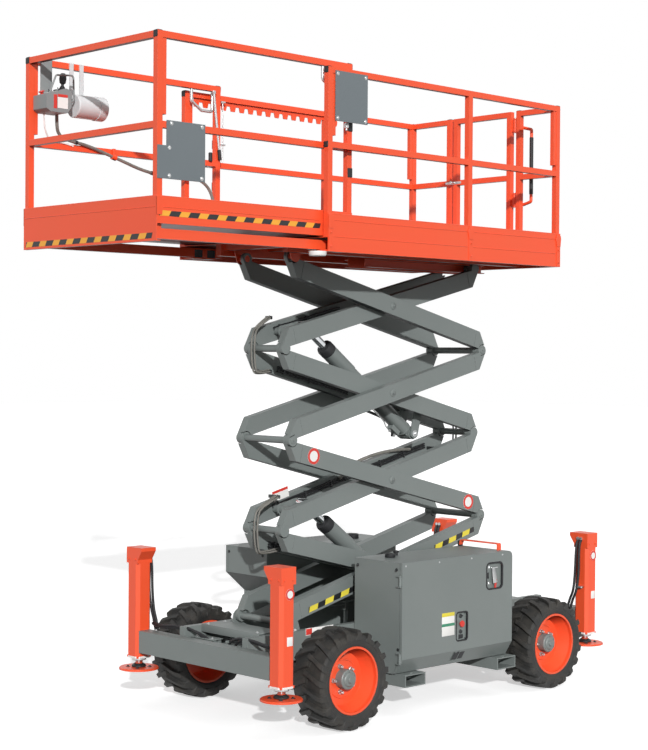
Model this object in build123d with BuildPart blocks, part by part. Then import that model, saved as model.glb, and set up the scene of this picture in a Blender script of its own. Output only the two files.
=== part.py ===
"""Rough-terrain scissor lift with outriggers, raised part way, its deck extension run out.

Millimetres. +Z up, the ground at z = 0. The deck extension and the steered wheels are at -X,
the entry gate is at +X, and the machine's left side is at -Y.
The origin is the middle of the whole footprint, at ground level.
"""
import os
from math import asin, cos, degrees, radians, sin, sqrt

from build123d import *

os.makedirs("parts", exist_ok=True)

# ---------------------------------------------------------------- driving dimensions
# Places along X are measured from the middle of the wheelbase and go through at_x().
running_gap = 0.3            # between round faces of different bodies that bear on each other
lug_gap = 1.0                # between arm lugs beside each other on one pin
plate = 8.0                  # brackets and folded chassis plate

# wheels
wheelbase = 2078.0
tyre_radius = 330.0
tyre_width = 292.0
bead_radius = 214.0
wheel_centre_y = 722.0
rim_flange_radius = 221.0
rim_half_width = 132.0
rim_disc_offset = 24.0       # disc outboard of the wheel's centre plane
hub_radius = 66.0
hub_length = 62.0
spindle_radius = 34.0

# steering
kingpin_y = 600.0
kingpin_radius = 20.0
yoke_height = 190.0
yoke_width = 60.0
yoke_web_y = 95.0            # clear of the kingpin, inboard
axle_height = 110.0
axle_depth = 120.0
axle_half_y = 440.0
steer_arm_length = 150.0
steer_arm_in = 60.0          # its eye lies inboard of the kingpin
steer_arm_width = 34.0

# chassis
rail_width = 50.0
rail_bottom = 400.0
rail_top = 590.0
beam_half_x = 50.0           # outrigger cross beams, along X
beam_bottom = 378.0
beam_top = 530.0
outrigger_front_reach = 524.0  # ahead of the front axle, clear of the tyre
outrigger_rear_reach = 531.0   # behind the rear axle
outrigger_y = 729.0
post_width = 125.0
post_top = 1101.0
post_bottom = 338.0
post_wall = 8.0
pad_radius = 137.0
pad_top = 270.0
pad_thickness = 14.0
leg_radius = 26.0
leg_length = 620.0

# cabinets
cabinet_front_x = -535.0
cabinet_rear_x = 615.0
cabinet_outer_y = 800.0
cabinet_rail_gap = 6.0       # between the cabinets and the chassis rails
cabinet_top = 1045.0
cabinet_bottom = 290.0
cabinet_skirt_top = 394.0    # below it the outer side leans inwards
cabinet_skirt_in = 60.0
cabinet_wall = 5.0
cabinet_corner = 42.0        # rounding of the rear top corner
doorway_margin = 34.0        # frame left round the doorway
recess_depth = 14.0          # latch and control recesses in the left door
grab_bar_width = 40.0
grab_bar_thick = 8.0
grab_bar_rise = 46.0
door_thickness = 26.0
door_gap = 5.0
door_hinge_radius = 9.0
door_hinge_offset = 10.0     # from the door's outer corner to the pin, both ways
hinge_pin_radius = 5.0
hinge_clearance = 0.3
hinge_height = 60.0
hinge_lug = 8.0
hinge_low_z = 400.0
hinge_high_z = 920.0
overhang_front_x = -714.0    # the engine cabinet reaches forward over the wheel
overhang_bottom = 850.0
overhang_slope = 150.0
engine_size = (560.0, 300.0, 480.0)
engine_gap = 20.0            # from the cabinet's inner wall

# fork pockets under the cabinets
pocket_front_x = -411.0
pocket_rear_x = 543.0
pocket_width = 200.0
pocket_height = 84.0
pocket_wall = 8.0
pocket_reach_y = 812.0
tie_down_radius = 16.0       # lashing holes in the pockets' upper walls
tie_down_y = 780.0

# scissor stack
pin_length = 2030.0          # pin to pin along one arm
rest_angle = 17.7            # of the pin line above the horizontal
arm_depth = 124.0
arm_width = 62.0
pin_offset = 68.0            # tube centre line from its end pins
arm_gap = 12.0               # between the outer and the inner tubes
base_pin_x = -1046.0         # brackets stand off the outer arms by bracket_gap
base_pin_z = 626.0
bracket_gap = 5.0
bracket_packing = 16.0       # between a pin bracket and the chassis rail
bracket_foot = 90.0          # half length of a pin bracket where it is welded on
bracket_boss = 44.0
pin_radius = 24.0
lug_radius = 40.0
lug_clear = 46.0
arm_nose = 34.0              # how far the tube's end passes its pin
arm_mitre = 62.0

# lift cylinders, in the frame of the pin line of the arm that carries each end
barrel_pivot_along = 1522.0  # from the left pin of the falling inner arm
barrel_pivot_below = 160.0
rod_eye_along = 380.0        # from the left pin of the rising inner arm
rod_eye_above = 42.0
rod_bracket_root = 150.0     # its cross tube, back along the arm from the eye
barrel_radius = 54.0
rod_radius = 30.0
barrel_length = 900.0
barrel_bore_start = 90.0
barrel_foot = 60.0           # square foot between the eye and the tube
gland_length = 60.0
rod_clearance = 4.0          # between the rod and the tube's bore
cylinder_stroke_in = 170.0   # left from here down to the stowed stack
cylinder_pin_radius = 20.0
eye_radius = 36.0
ear_gap = 8.0                # between the cylinders and the bracket ears beside them
ear_thickness = 14.0
cross_tube_radius = 28.0

# slide tracks for the rear ends of the stack
roller_radius = 22.0
roller_length = 28.0
roller_end_gap = 4.0         # between the rollers and the back of their track
roller_lip_gap = 2.0         # between the rollers and the track's open side
track_ear_gap = 6.0          # between the tracks and the cylinders' ears
track_arm_gap = 9.0          # between the tracks and the inner arms
track_front_x = -190.0
track_rear_x = 1075.0
track_plate = 6.0
roller_gap = 2.0

# platform
deck_front_x = -1200.0
deck_rear_x = 1200.0
deck_half_y = 750.0
skirt_bottom = 3101.0
skirt_top = 3345.0
skirt_sheet = 6.0
floor_top = 3198.0
floor_sheet = 6.0
rail_tube = 40.0
rail_top_z = 4290.0
rail_mid_z = 3790.0
middle_post_x = 190.0
corner_gusset = 30.0         # widening of the corner posts above the mid rail
gate_far_y = 274.0
gate_near_y = -305.0
gate_hinge_gap = 26.0        # hinge line from the gate and from the fixed post
gate_latch_gap = 30.0
gate_hinge_radius = 14.0
gate_hinge_height = 90.0
gate_hinges_z = (3575.0, 4140.0)
kick_plate = 130.0
grab_loop_reach = 78.0
grab_loop_low_z = 3585.0
grab_loop_high_z = 4169.0
grab_tube_radius = 12.0
lock_bar_height = 26.0       # toothed bar under the right top rail
lock_tooth = 34.0            # height of a tooth
lock_pitch = 86.0
lock_teeth = 16
lock_first_x = -1085.0
skirt_strap = 5.0            # straps outside the skirt, one under each post
deck_member_y = 340.0        # long members under the floor
deck_cross_low = 3150.0      # underside of the cross members at its ends
skirt_flange = 30.0          # lower edge of the skirt, folded inwards
floor_rib_xs = (-740.0, -340.0, 60.0, 460.0, 860.0)
floor_rib_depth = 30.0

# deck extension
ext_front_x = -2550.0
ext_rear_x = -925.0
ext_half_y = 690.0
ext_skirt_top = 3366.0
ext_rail_top_z = 4342.0
ext_floor_gap = 6.0
ext_beam_y = 640.0
ext_beam_width = 40.0
ext_beam_bottom = 3116.0
ext_beam_top = 3178.0
push_handle_radius = 11.0
push_handle_depth = 145.0
push_handle_span = 190.0
control_front_x = -2515.0
control_bottom_z = 3985.0
control_width = 150.0
hoop_radius = 6.0
document_tube_x = -2145.0
document_tube_z = 4050.0
document_tube_radius = 76.0
document_tube_length = 230.0
document_cap = 4.0           # how far its lid stands proud
bracket_sheet = 4.0
panel_thick = 5.0

# ---------------------------------------------------------------- derived places
# Across the machine everything is stacked up outwards from the lift cylinders.
ear_inner_y = barrel_radius + ear_gap
track_inner_y = ear_inner_y + ear_thickness + track_ear_gap
roller_inner_y = track_inner_y + track_plate + roller_end_gap
roller_outer_y = roller_inner_y + roller_length
track_outer_y = roller_outer_y + roller_lip_gap
inner_arm_y = track_outer_y + track_arm_gap + arm_width / 2
outer_arm_y = inner_arm_y + arm_width + arm_gap
rail_inner_y = outer_arm_y + arm_width / 2 + bracket_gap + plate + bracket_packing
cabinet_inner_y = rail_inner_y + rail_width + cabinet_rail_gap
outrigger_front_x = -(wheelbase / 2 + outrigger_front_reach)
outrigger_rear_x = wheelbase / 2 + outrigger_rear_reach
mid_x = (-ext_front_x - (outrigger_rear_x + pad_radius)) / 2


def at_x(from_middle):
    return mid_x + from_middle


front_axle_x = at_x(-wheelbase / 2)
rear_axle_x = at_x(wheelbase / 2)
tube_tilt = degrees(asin(2 * pin_offset / pin_length))
tube_length = sqrt(pin_length**2 - (2 * pin_offset) ** 2)
rise = pin_length * sin(radians(rest_angle))
left_x = at_x(base_pin_x)
top_pin_z = base_pin_z + 4 * rise


def save(piece, name):
    piece.part.label = name
    export_step(piece.part, f"parts/{name}.step")


def side_plane(y):
    """Vertical plane at y, sketch x along +X, sketch y along +Z, extruding towards -Y."""
    return Plane(origin=(0, y, 0), x_dir=(1, 0, 0), z_dir=(0, -1, 0))


def cross_plane(x):
    """Vertical plane at x, sketch x along +Y, sketch y along +Z, extruding towards +X."""
    return Plane(origin=(x, 0, 0), x_dir=(0, 1, 0), z_dir=(1, 0, 0))


# ================================================================ chassis
# Two box rails, the belly plate between them, the outrigger cross beams with their posts,
# the brackets of the fixed scissor pins and the tracks of the sliding ones.
beam_half_y = outrigger_y - post_width / 2

with BuildPart() as chassis_frame:
    rail_front = at_x(outrigger_front_x) + beam_half_x
    rail_rear = at_x(outrigger_rear_x) - beam_half_x
    rail_centre_y = rail_inner_y + rail_width / 2
    for side in (-1, 1):
        with Locations(((rail_front + rail_rear) / 2, side * rail_centre_y, (rail_bottom + rail_top) / 2)):
            Box(rail_rear - rail_front, rail_width, rail_top - rail_bottom)
    with Locations(((rail_front + rail_rear) / 2, 0, rail_bottom + plate / 2)):
        Box(rail_rear - rail_front, 2 * rail_inner_y, plate)
    for beam_x in (at_x(outrigger_front_x), at_x(outrigger_rear_x)):
        with Locations((beam_x, 0, (beam_bottom + beam_top) / 2)):
            Box(2 * beam_half_x, 2 * beam_half_y, beam_top - beam_bottom)
    # brackets of the base pins stand on the rails' inner faces
    bracket_inner_y = outer_arm_y + arm_width / 2 + bracket_gap
    bracket_root = rail_bottom + plate
    for side in (-1, 1):
        with BuildSketch(side_plane(side * (bracket_inner_y + plate / 2) + plate / 2)):
            with BuildLine():
                Polyline(
                    (left_x - bracket_foot, bracket_root),
                    (left_x - bracket_boss, base_pin_z + 20),
                    (left_x + bracket_boss, base_pin_z + 20),
                    (left_x + bracket_foot + 30, bracket_root),
                    close=True,
                )
            make_face()
            with Locations((left_x, base_pin_z)):
                Circle(bracket_boss)
                Circle(pin_radius + running_gap, mode=Mode.SUBTRACT)
        extrude(amount=plate)
        # packing between the bracket and the rail
        packing_y = bracket_inner_y + plate
        with Locations((left_x + 10, side * (packing_y + rail_inner_y) / 2, (rail_bottom + rail_top) / 2)):
            Box(bracket_foot, rail_inner_y - packing_y, rail_top - rail_bottom - 20)
    # channels for the sliding rollers, open towards the arms, on stools from the belly plate
    track_half = roller_radius + roller_gap
    for side in (-1, 1):
        with BuildSketch(cross_plane(at_x(track_front_x))):
            y_mid = side * (track_inner_y + track_outer_y) / 2
            with Locations((y_mid, base_pin_z)):
                Rectangle(track_outer_y - track_inner_y, 2 * (track_half + track_plate))
            with Locations((side * (track_inner_y + track_plate + 20), base_pin_z)):
                Rectangle(40, 2 * track_half, mode=Mode.SUBTRACT)
        extrude(amount=track_rear_x - track_front_x)
    stool_top = base_pin_z - track_half - track_plate
    stool_y = (track_inner_y + track_outer_y) / 2
    for stool_x in (track_front_x + 60, track_rear_x - 60):
        for side in (-1, 1):
            with Locations((at_x(stool_x), side * stool_y, (bracket_root + stool_top) / 2)):
                Box(80, track_outer_y - track_inner_y, stool_top - bracket_root)
save(chassis_frame, "chassis_frame")

# ---------------------------------------------------------------- outrigger posts and legs
# columns: name, x, side
outriggers = (
    ("front_left", at_x(outrigger_front_x), -1),
    ("front_right", at_x(outrigger_front_x), 1),
    ("rear_left", at_x(outrigger_rear_x), -1),
    ("rear_right", at_x(outrigger_rear_x), 1),
)
cap_reach = 40.0
cap_deep = 84.0              # height of the cap's sloping side
for name, post_x, side in outriggers:
    post_y = side * outrigger_y
    with BuildPart() as post:
        with BuildSketch(Plane.XY.offset(post_bottom)):
            with Locations((post_x, post_y)):
                Rectangle(post_width, post_width)
            chamfer(vertices(), 22)
        extrude(amount=post_top - 90 - post_bottom)
        # flared cap, wider towards the middle of the machine
        half = post_width / 2
        with BuildSketch(cross_plane(post_x - half).shift_origin((post_x - half, post_y, 0))):
            with BuildLine():
                Polyline(
                    (side * half, post_top - 110),
                    (side * half, post_top),
                    (-side * (half + cap_reach), post_top),
                    (-side * (half + cap_reach), post_top - 24),
                    (-side * half, post_top - cap_deep),
                    (-side * half, post_top - 110),
                    close=True,
                )
            make_face()
        extrude(amount=post_width)
        with BuildSketch(Plane.XY.offset(post_bottom)):
            with Locations((post_x, post_y)):
                Rectangle(post_width - 2 * post_wall, post_width - 2 * post_wall)
            chamfer(vertices(), 16)
        extrude(amount=post_top - 130 - post_bottom, mode=Mode.SUBTRACT)
        with BuildSketch(Plane.XY.offset(post_bottom)):
            with Locations((post_x, post_y)):
                Rectangle(post_width - post_wall, post_width - post_wall)
                Circle(leg_radius + running_gap, mode=Mode.SUBTRACT)
        extrude(amount=14)
    save(post, f"outrigger_post_{name}")

    with BuildPart() as leg:
        with BuildSketch(Plane.XY.offset(pad_top - pad_thickness)):
            with Locations((post_x, post_y)):
                Circle(pad_radius)
        extrude(amount=pad_thickness)
        chamfer(leg.edges().group_by(Axis.Z)[-1], 5)
        with BuildSketch(Plane.XY.offset(pad_top)):
            with Locations((post_x, post_y)):
                Circle(leg_radius + 16)
        extrude(amount=26, taper=25)
        with BuildSketch(Plane.XY.offset(pad_top)):
            with Locations((post_x, post_y)):
                Circle(leg_radius)
        extrude(amount=leg_length)
    save(leg, f"outrigger_leg_{name}")

# ---------------------------------------------------------------- axles
ear = 24.0
yoke_inner = yoke_height / 2 - ear
with BuildPart() as front_axle:
    with Locations((front_axle_x, 0, tyre_radius)):
        Box(axle_depth, 2 * axle_half_y, axle_height)
    with Locations((front_axle_x, 0, (tyre_radius + axle_height / 2 + rail_bottom) / 2)):
        Box(axle_depth, 2 * (rail_inner_y + rail_width), rail_bottom - tyre_radius - axle_height / 2)
    for side in (-1, 1):
        with Locations((front_axle_x, side * (axle_half_y + kingpin_y - yoke_web_y) / 2, tyre_radius)):
            Box(yoke_width, kingpin_y - yoke_web_y - axle_half_y, yoke_height)
        for ear_bottom in (tyre_radius - yoke_height / 2, tyre_radius + yoke_inner):
            with BuildSketch(Plane.XY.offset(ear_bottom)):
                with Locations((front_axle_x, side * (kingpin_y - yoke_web_y / 2))):
                    Rectangle(yoke_width, yoke_web_y)
                with Locations((front_axle_x, side * kingpin_y)):
                    Circle(38)
                    Circle(kingpin_radius + running_gap, mode=Mode.SUBTRACT)
            extrude(amount=ear)
save(front_axle, "front_axle")

rear_beam_y = wheel_centre_y - rim_half_width - 20
spindle_end_y = wheel_centre_y + rim_disc_offset + hub_length - 20
with BuildPart() as rear_axle:
    with Locations((rear_axle_x, 0, tyre_radius)):
        Box(axle_depth, 2 * rear_beam_y, axle_height)
    with Locations((rear_axle_x, 0, (tyre_radius + axle_height / 2 + rail_bottom) / 2)):
        Box(axle_depth, 2 * (rail_inner_y + rail_width), rail_bottom - tyre_radius - axle_height / 2)
    for side in (-1, 1):
        with BuildSketch(side_plane(side * rear_beam_y)):
            with Locations((rear_axle_x, tyre_radius)):
                Circle(spindle_radius)
        extrude(amount=-side * (spindle_end_y - rear_beam_y))
save(rear_axle, "rear_axle")

# ---------------------------------------------------------------- steering knuckles
steer_arm_top = tyre_radius - 42
steer_arm_thick = 18.0
for name, side in (("left", -1), ("right", 1)):
    with BuildPart() as knuckle:
        with BuildSketch(Plane.XY.offset(tyre_radius - yoke_height / 2 - 4)):
            with Locations((front_axle_x, side * kingpin_y)):
                Circle(kingpin_radius)
        extrude(amount=yoke_height + 8)
        with BuildSketch(Plane.XY.offset(tyre_radius - yoke_inner + 2)):
            with Locations((front_axle_x, side * kingpin_y)):
                Circle(32)
        extrude(amount=2 * yoke_inner - 4)
        with BuildSketch(side_plane(side * kingpin_y)):
            with Locations((front_axle_x, tyre_radius)):
                Circle(spindle_radius)
        extrude(amount=-side * (spindle_end_y - kingpin_y))
        # steering arm, reaching back and inboard from the kingpin
        with BuildSketch(Plane.XY.offset(steer_arm_top - steer_arm_thick)):
            with Locations((front_axle_x, side * kingpin_y)):
                Circle(steer_arm_width / 2)
            with Locations((front_axle_x + steer_arm_length, side * (kingpin_y - steer_arm_in))):
                Circle(steer_arm_width / 2)
            make_hull()
        extrude(amount=steer_arm_thick)
    save(knuckle, f"steering_knuckle_{name}")

# steering cylinder across the axle, with its through rod
steer_z = tyre_radius - 20
steer_x = front_axle_x + steer_arm_length
with BuildPart() as steering_cylinder:
    with BuildSketch(side_plane(160)):
        with Locations((steer_x, steer_z)):
            Circle(36)
            Circle(16 + running_gap, mode=Mode.SUBTRACT)
    extrude(amount=320)
    axle_face = front_axle_x + axle_depth / 2
    with Locations(((axle_face + steer_x) / 2, -70, steer_z), ((axle_face + steer_x) / 2, 70, steer_z)):
        Box(steer_x - axle_face, 30, 50)
    with BuildSketch(side_plane(160)):
        with Locations((steer_x, steer_z)):
            Circle(16 + running_gap)
    extrude(amount=320, mode=Mode.SUBTRACT)
save(steering_cylinder, "steering_cylinder")

tie_reach = kingpin_y - steer_arm_in
ball_gap = 2.0
with BuildPart() as steering_rod:
    with BuildSketch(side_plane(tie_reach - 20)):
        with Locations((steer_x, steer_z)):
            Circle(16)
    extrude(amount=2 * (tie_reach - 20))
    for side in (-1, 1):
        with BuildSketch(Plane.XY.offset(steer_arm_top + ball_gap)):
            with Locations((steer_x, side * tie_reach)):
                Circle(22)
        extrude(amount=2 * (steer_z - steer_arm_top - ball_gap))
save(steering_rod, "steering_rod")

# ---------------------------------------------------------------- wheels
wheels = (
    ("front_left", front_axle_x, -1),
    ("front_right", front_axle_x, 1),
    ("rear_left", rear_axle_x, -1),
    ("rear_right", rear_axle_x, 1),
)
shoulder = 46.0
bead_x = rim_half_width - 8 - running_gap
for name, wheel_x, side in wheels:
    # profile plane: sketch x outboard along the axle, sketch y outwards from it
    wheel_plane = Plane(
        origin=(wheel_x, side * wheel_centre_y, tyre_radius),
        x_dir=(0, side, 0),
        z_dir=(side, 0, 0),
    )
    axle_line = Axis((wheel_x, 0, tyre_radius), (0, 1, 0))
    half = tyre_width / 2
    with BuildPart() as tyre:
        with BuildSketch(wheel_plane):
            with BuildLine():
                Polyline(
                    (-bead_x, bead_radius),
                    (-bead_x, rim_flange_radius + 4),
                    (-half, bead_radius + 40),
                    (-half, tyre_radius - shoulder),
                    (-half + shoulder, tyre_radius),
                    (half - shoulder, tyre_radius),
                    (half, tyre_radius - shoulder),
                    (half, bead_radius + 40),
                    (bead_x, rim_flange_radius + 4),
                    (bead_x, bead_radius),
                    close=True,
                )
            make_face()
        revolve(axis=axle_line)
    save(tyre, f"tyre_{name}")

    barrel_outer = bead_radius - running_gap
    rim_wall = 7.0
    disc_at = rim_disc_offset
    with BuildPart() as rim:
        with BuildSketch(wheel_plane):
            with BuildLine():
                Polyline(
                    (-rim_half_width, rim_flange_radius),
                    (-rim_half_width, barrel_outer - rim_wall),
                    (disc_at - 12, barrel_outer - rim_wall - 34),
                    (disc_at - 12, spindle_radius + running_gap),
                    (disc_at + hub_length, spindle_radius + running_gap),
                    (disc_at + hub_length, hub_radius - 8),
                    (disc_at + hub_length - 8, hub_radius),
                    (disc_at, hub_radius),
                    (disc_at, barrel_outer - rim_wall - 34),
                    (rim_half_width - 26, barrel_outer - rim_wall),
                    (rim_half_width, barrel_outer - rim_wall),
                    (rim_half_width, rim_flange_radius),
                    (rim_half_width - 8, rim_flange_radius),
                    (rim_half_width - 8, barrel_outer),
                    (-rim_half_width + 8, barrel_outer),
                    (-rim_half_width + 8, rim_flange_radius),
                    close=True,
                )
            make_face()
        revolve(axis=axle_line)
    save(rim, f"rim_{name}")

# ---------------------------------------------------------------- cabinets
# Folded shells with an open doorway, and one folded door each over the whole outer side.
# Both are the cross section along X cut to the side outline.
inner_out = cabinet_outer_y - door_thickness


def cabinet_form(section, bottom, front, top_front, rear, top, inset):
    """Solid with that cross section (y, z) and the side outline, shrunk inwards by inset."""
    reach = cabinet_outer_y + 1
    with BuildPart() as form:
        with BuildSketch(cross_plane(min(front, top_front) - 1)):
            with BuildLine():
                Polyline(*section, close=True)
            make_face()
            if inset:
                offset(amount=-inset, kind=Kind.INTERSECTION)
        extrude(amount=rear - min(front, top_front) + 2)
        with BuildSketch(side_plane(reach)) as outline:
            with BuildLine():
                points = [(front, bottom), (rear, bottom), (rear, top), (top_front, top)]
                if top_front < front:
                    points += [(top_front, overhang_bottom), (front, overhang_bottom - overhang_slope)]
                Polyline(*points, close=True)
            make_face()
            # the open sketch is in its own flat frame: Y there is the height
            rear_top = outline.vertices().sort_by(Axis.X)[-2:].sort_by(Axis.Y)[-1:]
            fillet(rear_top, cabinet_corner)
            if inset:
                offset(amount=-inset, kind=Kind.INTERSECTION)
        extrude(amount=2 * reach, mode=Mode.INTERSECT)
    return form.part


for name, side in (("left", -1), ("right", 1)):
    front_x = at_x(cabinet_front_x)
    rear_x = at_x(cabinet_rear_x)
    top_front_x = at_x(overhang_front_x) if side > 0 else front_x
    pin_x = rear_x + door_hinge_offset if side > 0 else front_x - door_hinge_offset
    pin_y = cabinet_outer_y - door_hinge_offset
    section = [
        (side * cabinet_inner_y, cabinet_bottom),
        (side * (inner_out - cabinet_skirt_in), cabinet_bottom),
        (side * inner_out, cabinet_skirt_top),
        (side * inner_out, cabinet_top),
        (side * cabinet_inner_y, cabinet_top),
    ]
    with BuildPart() as cabinet:
        outer = (section, cabinet_bottom, front_x, top_front_x, rear_x, cabinet_top)
        add(cabinet_form(*outer, 0))
        add(cabinet_form(*outer, cabinet_wall), mode=Mode.SUBTRACT)
        doorway_low = cabinet_skirt_top + doorway_margin
        doorway_high = cabinet_top - doorway_margin
        doorway_length = rear_x - front_x - 2 * doorway_margin
        with Locations(((front_x + rear_x) / 2, side * inner_out, (doorway_low + doorway_high) / 2)):
            Box(doorway_length, 4 * cabinet_wall, doorway_high - doorway_low, mode=Mode.SUBTRACT)
        # two hinges: lugs above and below each barrel, and one pin through them
        for hinge_z in (hinge_low_z, hinge_high_z):
            lug_z = hinge_height / 2 + 1 + hinge_lug / 2
            for z in (hinge_z - lug_z, hinge_z + lug_z):
                with Locations((pin_x, side * pin_y, z)):
                    Cylinder(door_hinge_radius - 0.5, hinge_lug)
                with Locations((pin_x - side * 1, side * (pin_y - 15), z)):
                    Box(2 * (door_hinge_offset - 1), 30, hinge_lug)
            with Locations((pin_x, side * pin_y, hinge_z)):
                Cylinder(hinge_pin_radius, hinge_height + 4)
    save(cabinet, f"cabinet_{name}")

    door_inner = inner_out + door_gap
    door_bottom = cabinet_bottom + door_gap
    door_section = [
        (side * (cabinet_outer_y - cabinet_skirt_in), door_bottom),
        (side * cabinet_outer_y, cabinet_skirt_top),
        (side * cabinet_outer_y, cabinet_top),
        (side * door_inner, cabinet_top),
        (side * door_inner, cabinet_skirt_top),
        (side * (door_inner - cabinet_skirt_in), door_bottom),
    ]
    with BuildPart() as door:
        add(cabinet_form(door_section, door_bottom, front_x, top_front_x, rear_x, cabinet_top, 0))
        if side < 0:
            # latch recess, control recess and two vent slots in the leaning strip
            # columns: x, z of the middle, width, height, depth
            for cut_x, cut_z, cut_w, cut_h, depth in (
                (420, 880, 186, 196, recess_depth),
                (74, 558, 128, 208, recess_depth),
                (4, 352, 26, 62, 4 * door_thickness),
                (46, 352, 26, 62, 4 * door_thickness),
            ):
                with BuildSketch(side_plane(-(cabinet_outer_y - depth))):
                    with Locations((at_x(cut_x), cut_z)):
                        RectangleRounded(cut_w, cut_h, min(cut_w, cut_h) / 5)
                extrude(amount=depth + 1, mode=Mode.SUBTRACT)
        for hinge_z in (hinge_low_z, hinge_high_z):
            with Locations((pin_x, side * pin_y, hinge_z)):
                Cylinder(door_hinge_radius, hinge_height)
            with Locations((pin_x - side * 7, side * pin_y, hinge_z)):
                Box(14, 12, hinge_height)
            with Locations((pin_x, side * pin_y, hinge_z)):
                Cylinder(hinge_pin_radius + hinge_clearance, 2 * hinge_height, mode=Mode.SUBTRACT)
    save(door, f"cabinet_door_{name}")

# bent flat bar across the rear of the left cabinet's top
bar_rear = at_x(cabinet_rear_x) - cabinet_corner - 6
bar_outer_y = -(cabinet_outer_y - 70)
bar_inner_y = -(cabinet_inner_y + 30)
with BuildPart() as grab_bar:
    with BuildSketch(cross_plane(bar_rear - grab_bar_width)):
        with BuildLine():
            bend = FilletPolyline(
                (bar_inner_y + 20, cabinet_top),
                (bar_inner_y, cabinet_top + grab_bar_rise),
                (bar_outer_y, cabinet_top + grab_bar_rise),
                (bar_outer_y, cabinet_top),
                radius=10,
            )
            offset(bend, amount=grab_bar_thick / 2, side=Side.BOTH)
        make_face()
    extrude(amount=grab_bar_width)
    split(bisect_by=Plane.XY.offset(cabinet_top), keep=Keep.TOP)
save(grab_bar, "cabinet_grab_bar")

with BuildPart() as engine:
    length, width, height = engine_size
    engine_y = cabinet_inner_y + cabinet_wall + engine_gap + width / 2
    with Locations((at_x(0), engine_y, cabinet_bottom + cabinet_wall + height / 2)):
        Box(length, width, height)
save(engine, "engine_block")

# ---------------------------------------------------------------- fork pockets
with BuildPart() as pockets:
    for pocket_x in (at_x(pocket_front_x), at_x(pocket_rear_x)):
        pocket_z = cabinet_bottom - pocket_height / 2
        with Locations((pocket_x, 0, pocket_z)):
            Box(pocket_width, 2 * pocket_reach_y, pocket_height)
            Box(
                pocket_width - 2 * pocket_wall,
                2 * pocket_reach_y,
                pocket_height - 2 * pocket_wall,
                mode=Mode.SUBTRACT,
            )
        for side in (-1, 1):
            with BuildSketch(Plane.XY.offset(cabinet_bottom - pocket_wall)):
                with Locations((pocket_x, side * tie_down_y)):
                    Circle(tie_down_radius)
            extrude(amount=pocket_wall, mode=Mode.SUBTRACT)
        with Locations((pocket_x, 0, (cabinet_bottom + rail_bottom) / 2)):
            Box(120, 2 * (rail_inner_y + 40), rail_bottom - cabinet_bottom)
save(pockets, "fork_pockets")


# ================================================================ scissor stack
def arm_plane(level, rising, y):
    """Plane of an arm at y: origin on its left pin, x along the tube, extruding towards -Y."""
    angle = radians(rest_angle - tube_tilt) * (1 if rising else -1)
    start_z = base_pin_z + rise * (level if rising else level + 1)
    return Plane(origin=(left_x, y, start_z), x_dir=(cos(angle), 0, sin(angle)), z_dir=(0, -1, 0))


def in_tube_frame(along, above, rising):
    """A point given along and above the pin line, in the tube's own frame."""
    turn = radians(tube_tilt) * (1 if rising else -1)
    return (along * cos(turn) - above * sin(turn), along * sin(turn) + above * cos(turn))


# columns: name, level, rising, centre y of its tubes, left pin, right pin, cylinder fitting
# pins: shaft = carries a shaft through both tubes, bore = runs on its neighbour's shaft,
#       roller = stub shafts with rollers in a track, base = shaft that reaches the brackets
arms = (
    ("scissor_arm_1_outer", 0, True, outer_arm_y, "base", "bore", None),
    ("scissor_arm_1_inner", 0, False, inner_arm_y, "bore", "roller", "barrel"),
    ("scissor_arm_2_outer", 1, False, outer_arm_y, "bore", "shaft", None),
    ("scissor_arm_2_inner", 1, True, inner_arm_y, "shaft", "shaft", "rod"),
    ("scissor_arm_3_outer", 2, True, outer_arm_y, "shaft", "bore", None),
    ("scissor_arm_3_inner", 2, False, inner_arm_y, "bore", "bore", "barrel"),
    ("scissor_arm_4_outer", 3, False, outer_arm_y, "bore", "shaft", None),
    ("scissor_arm_4_inner", 3, True, inner_arm_y, "shaft", "roller", "rod"),
)
low_edge = pin_offset - arm_depth / 2
high_edge = pin_offset + arm_depth / 2
half_width = arm_width / 2

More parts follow.
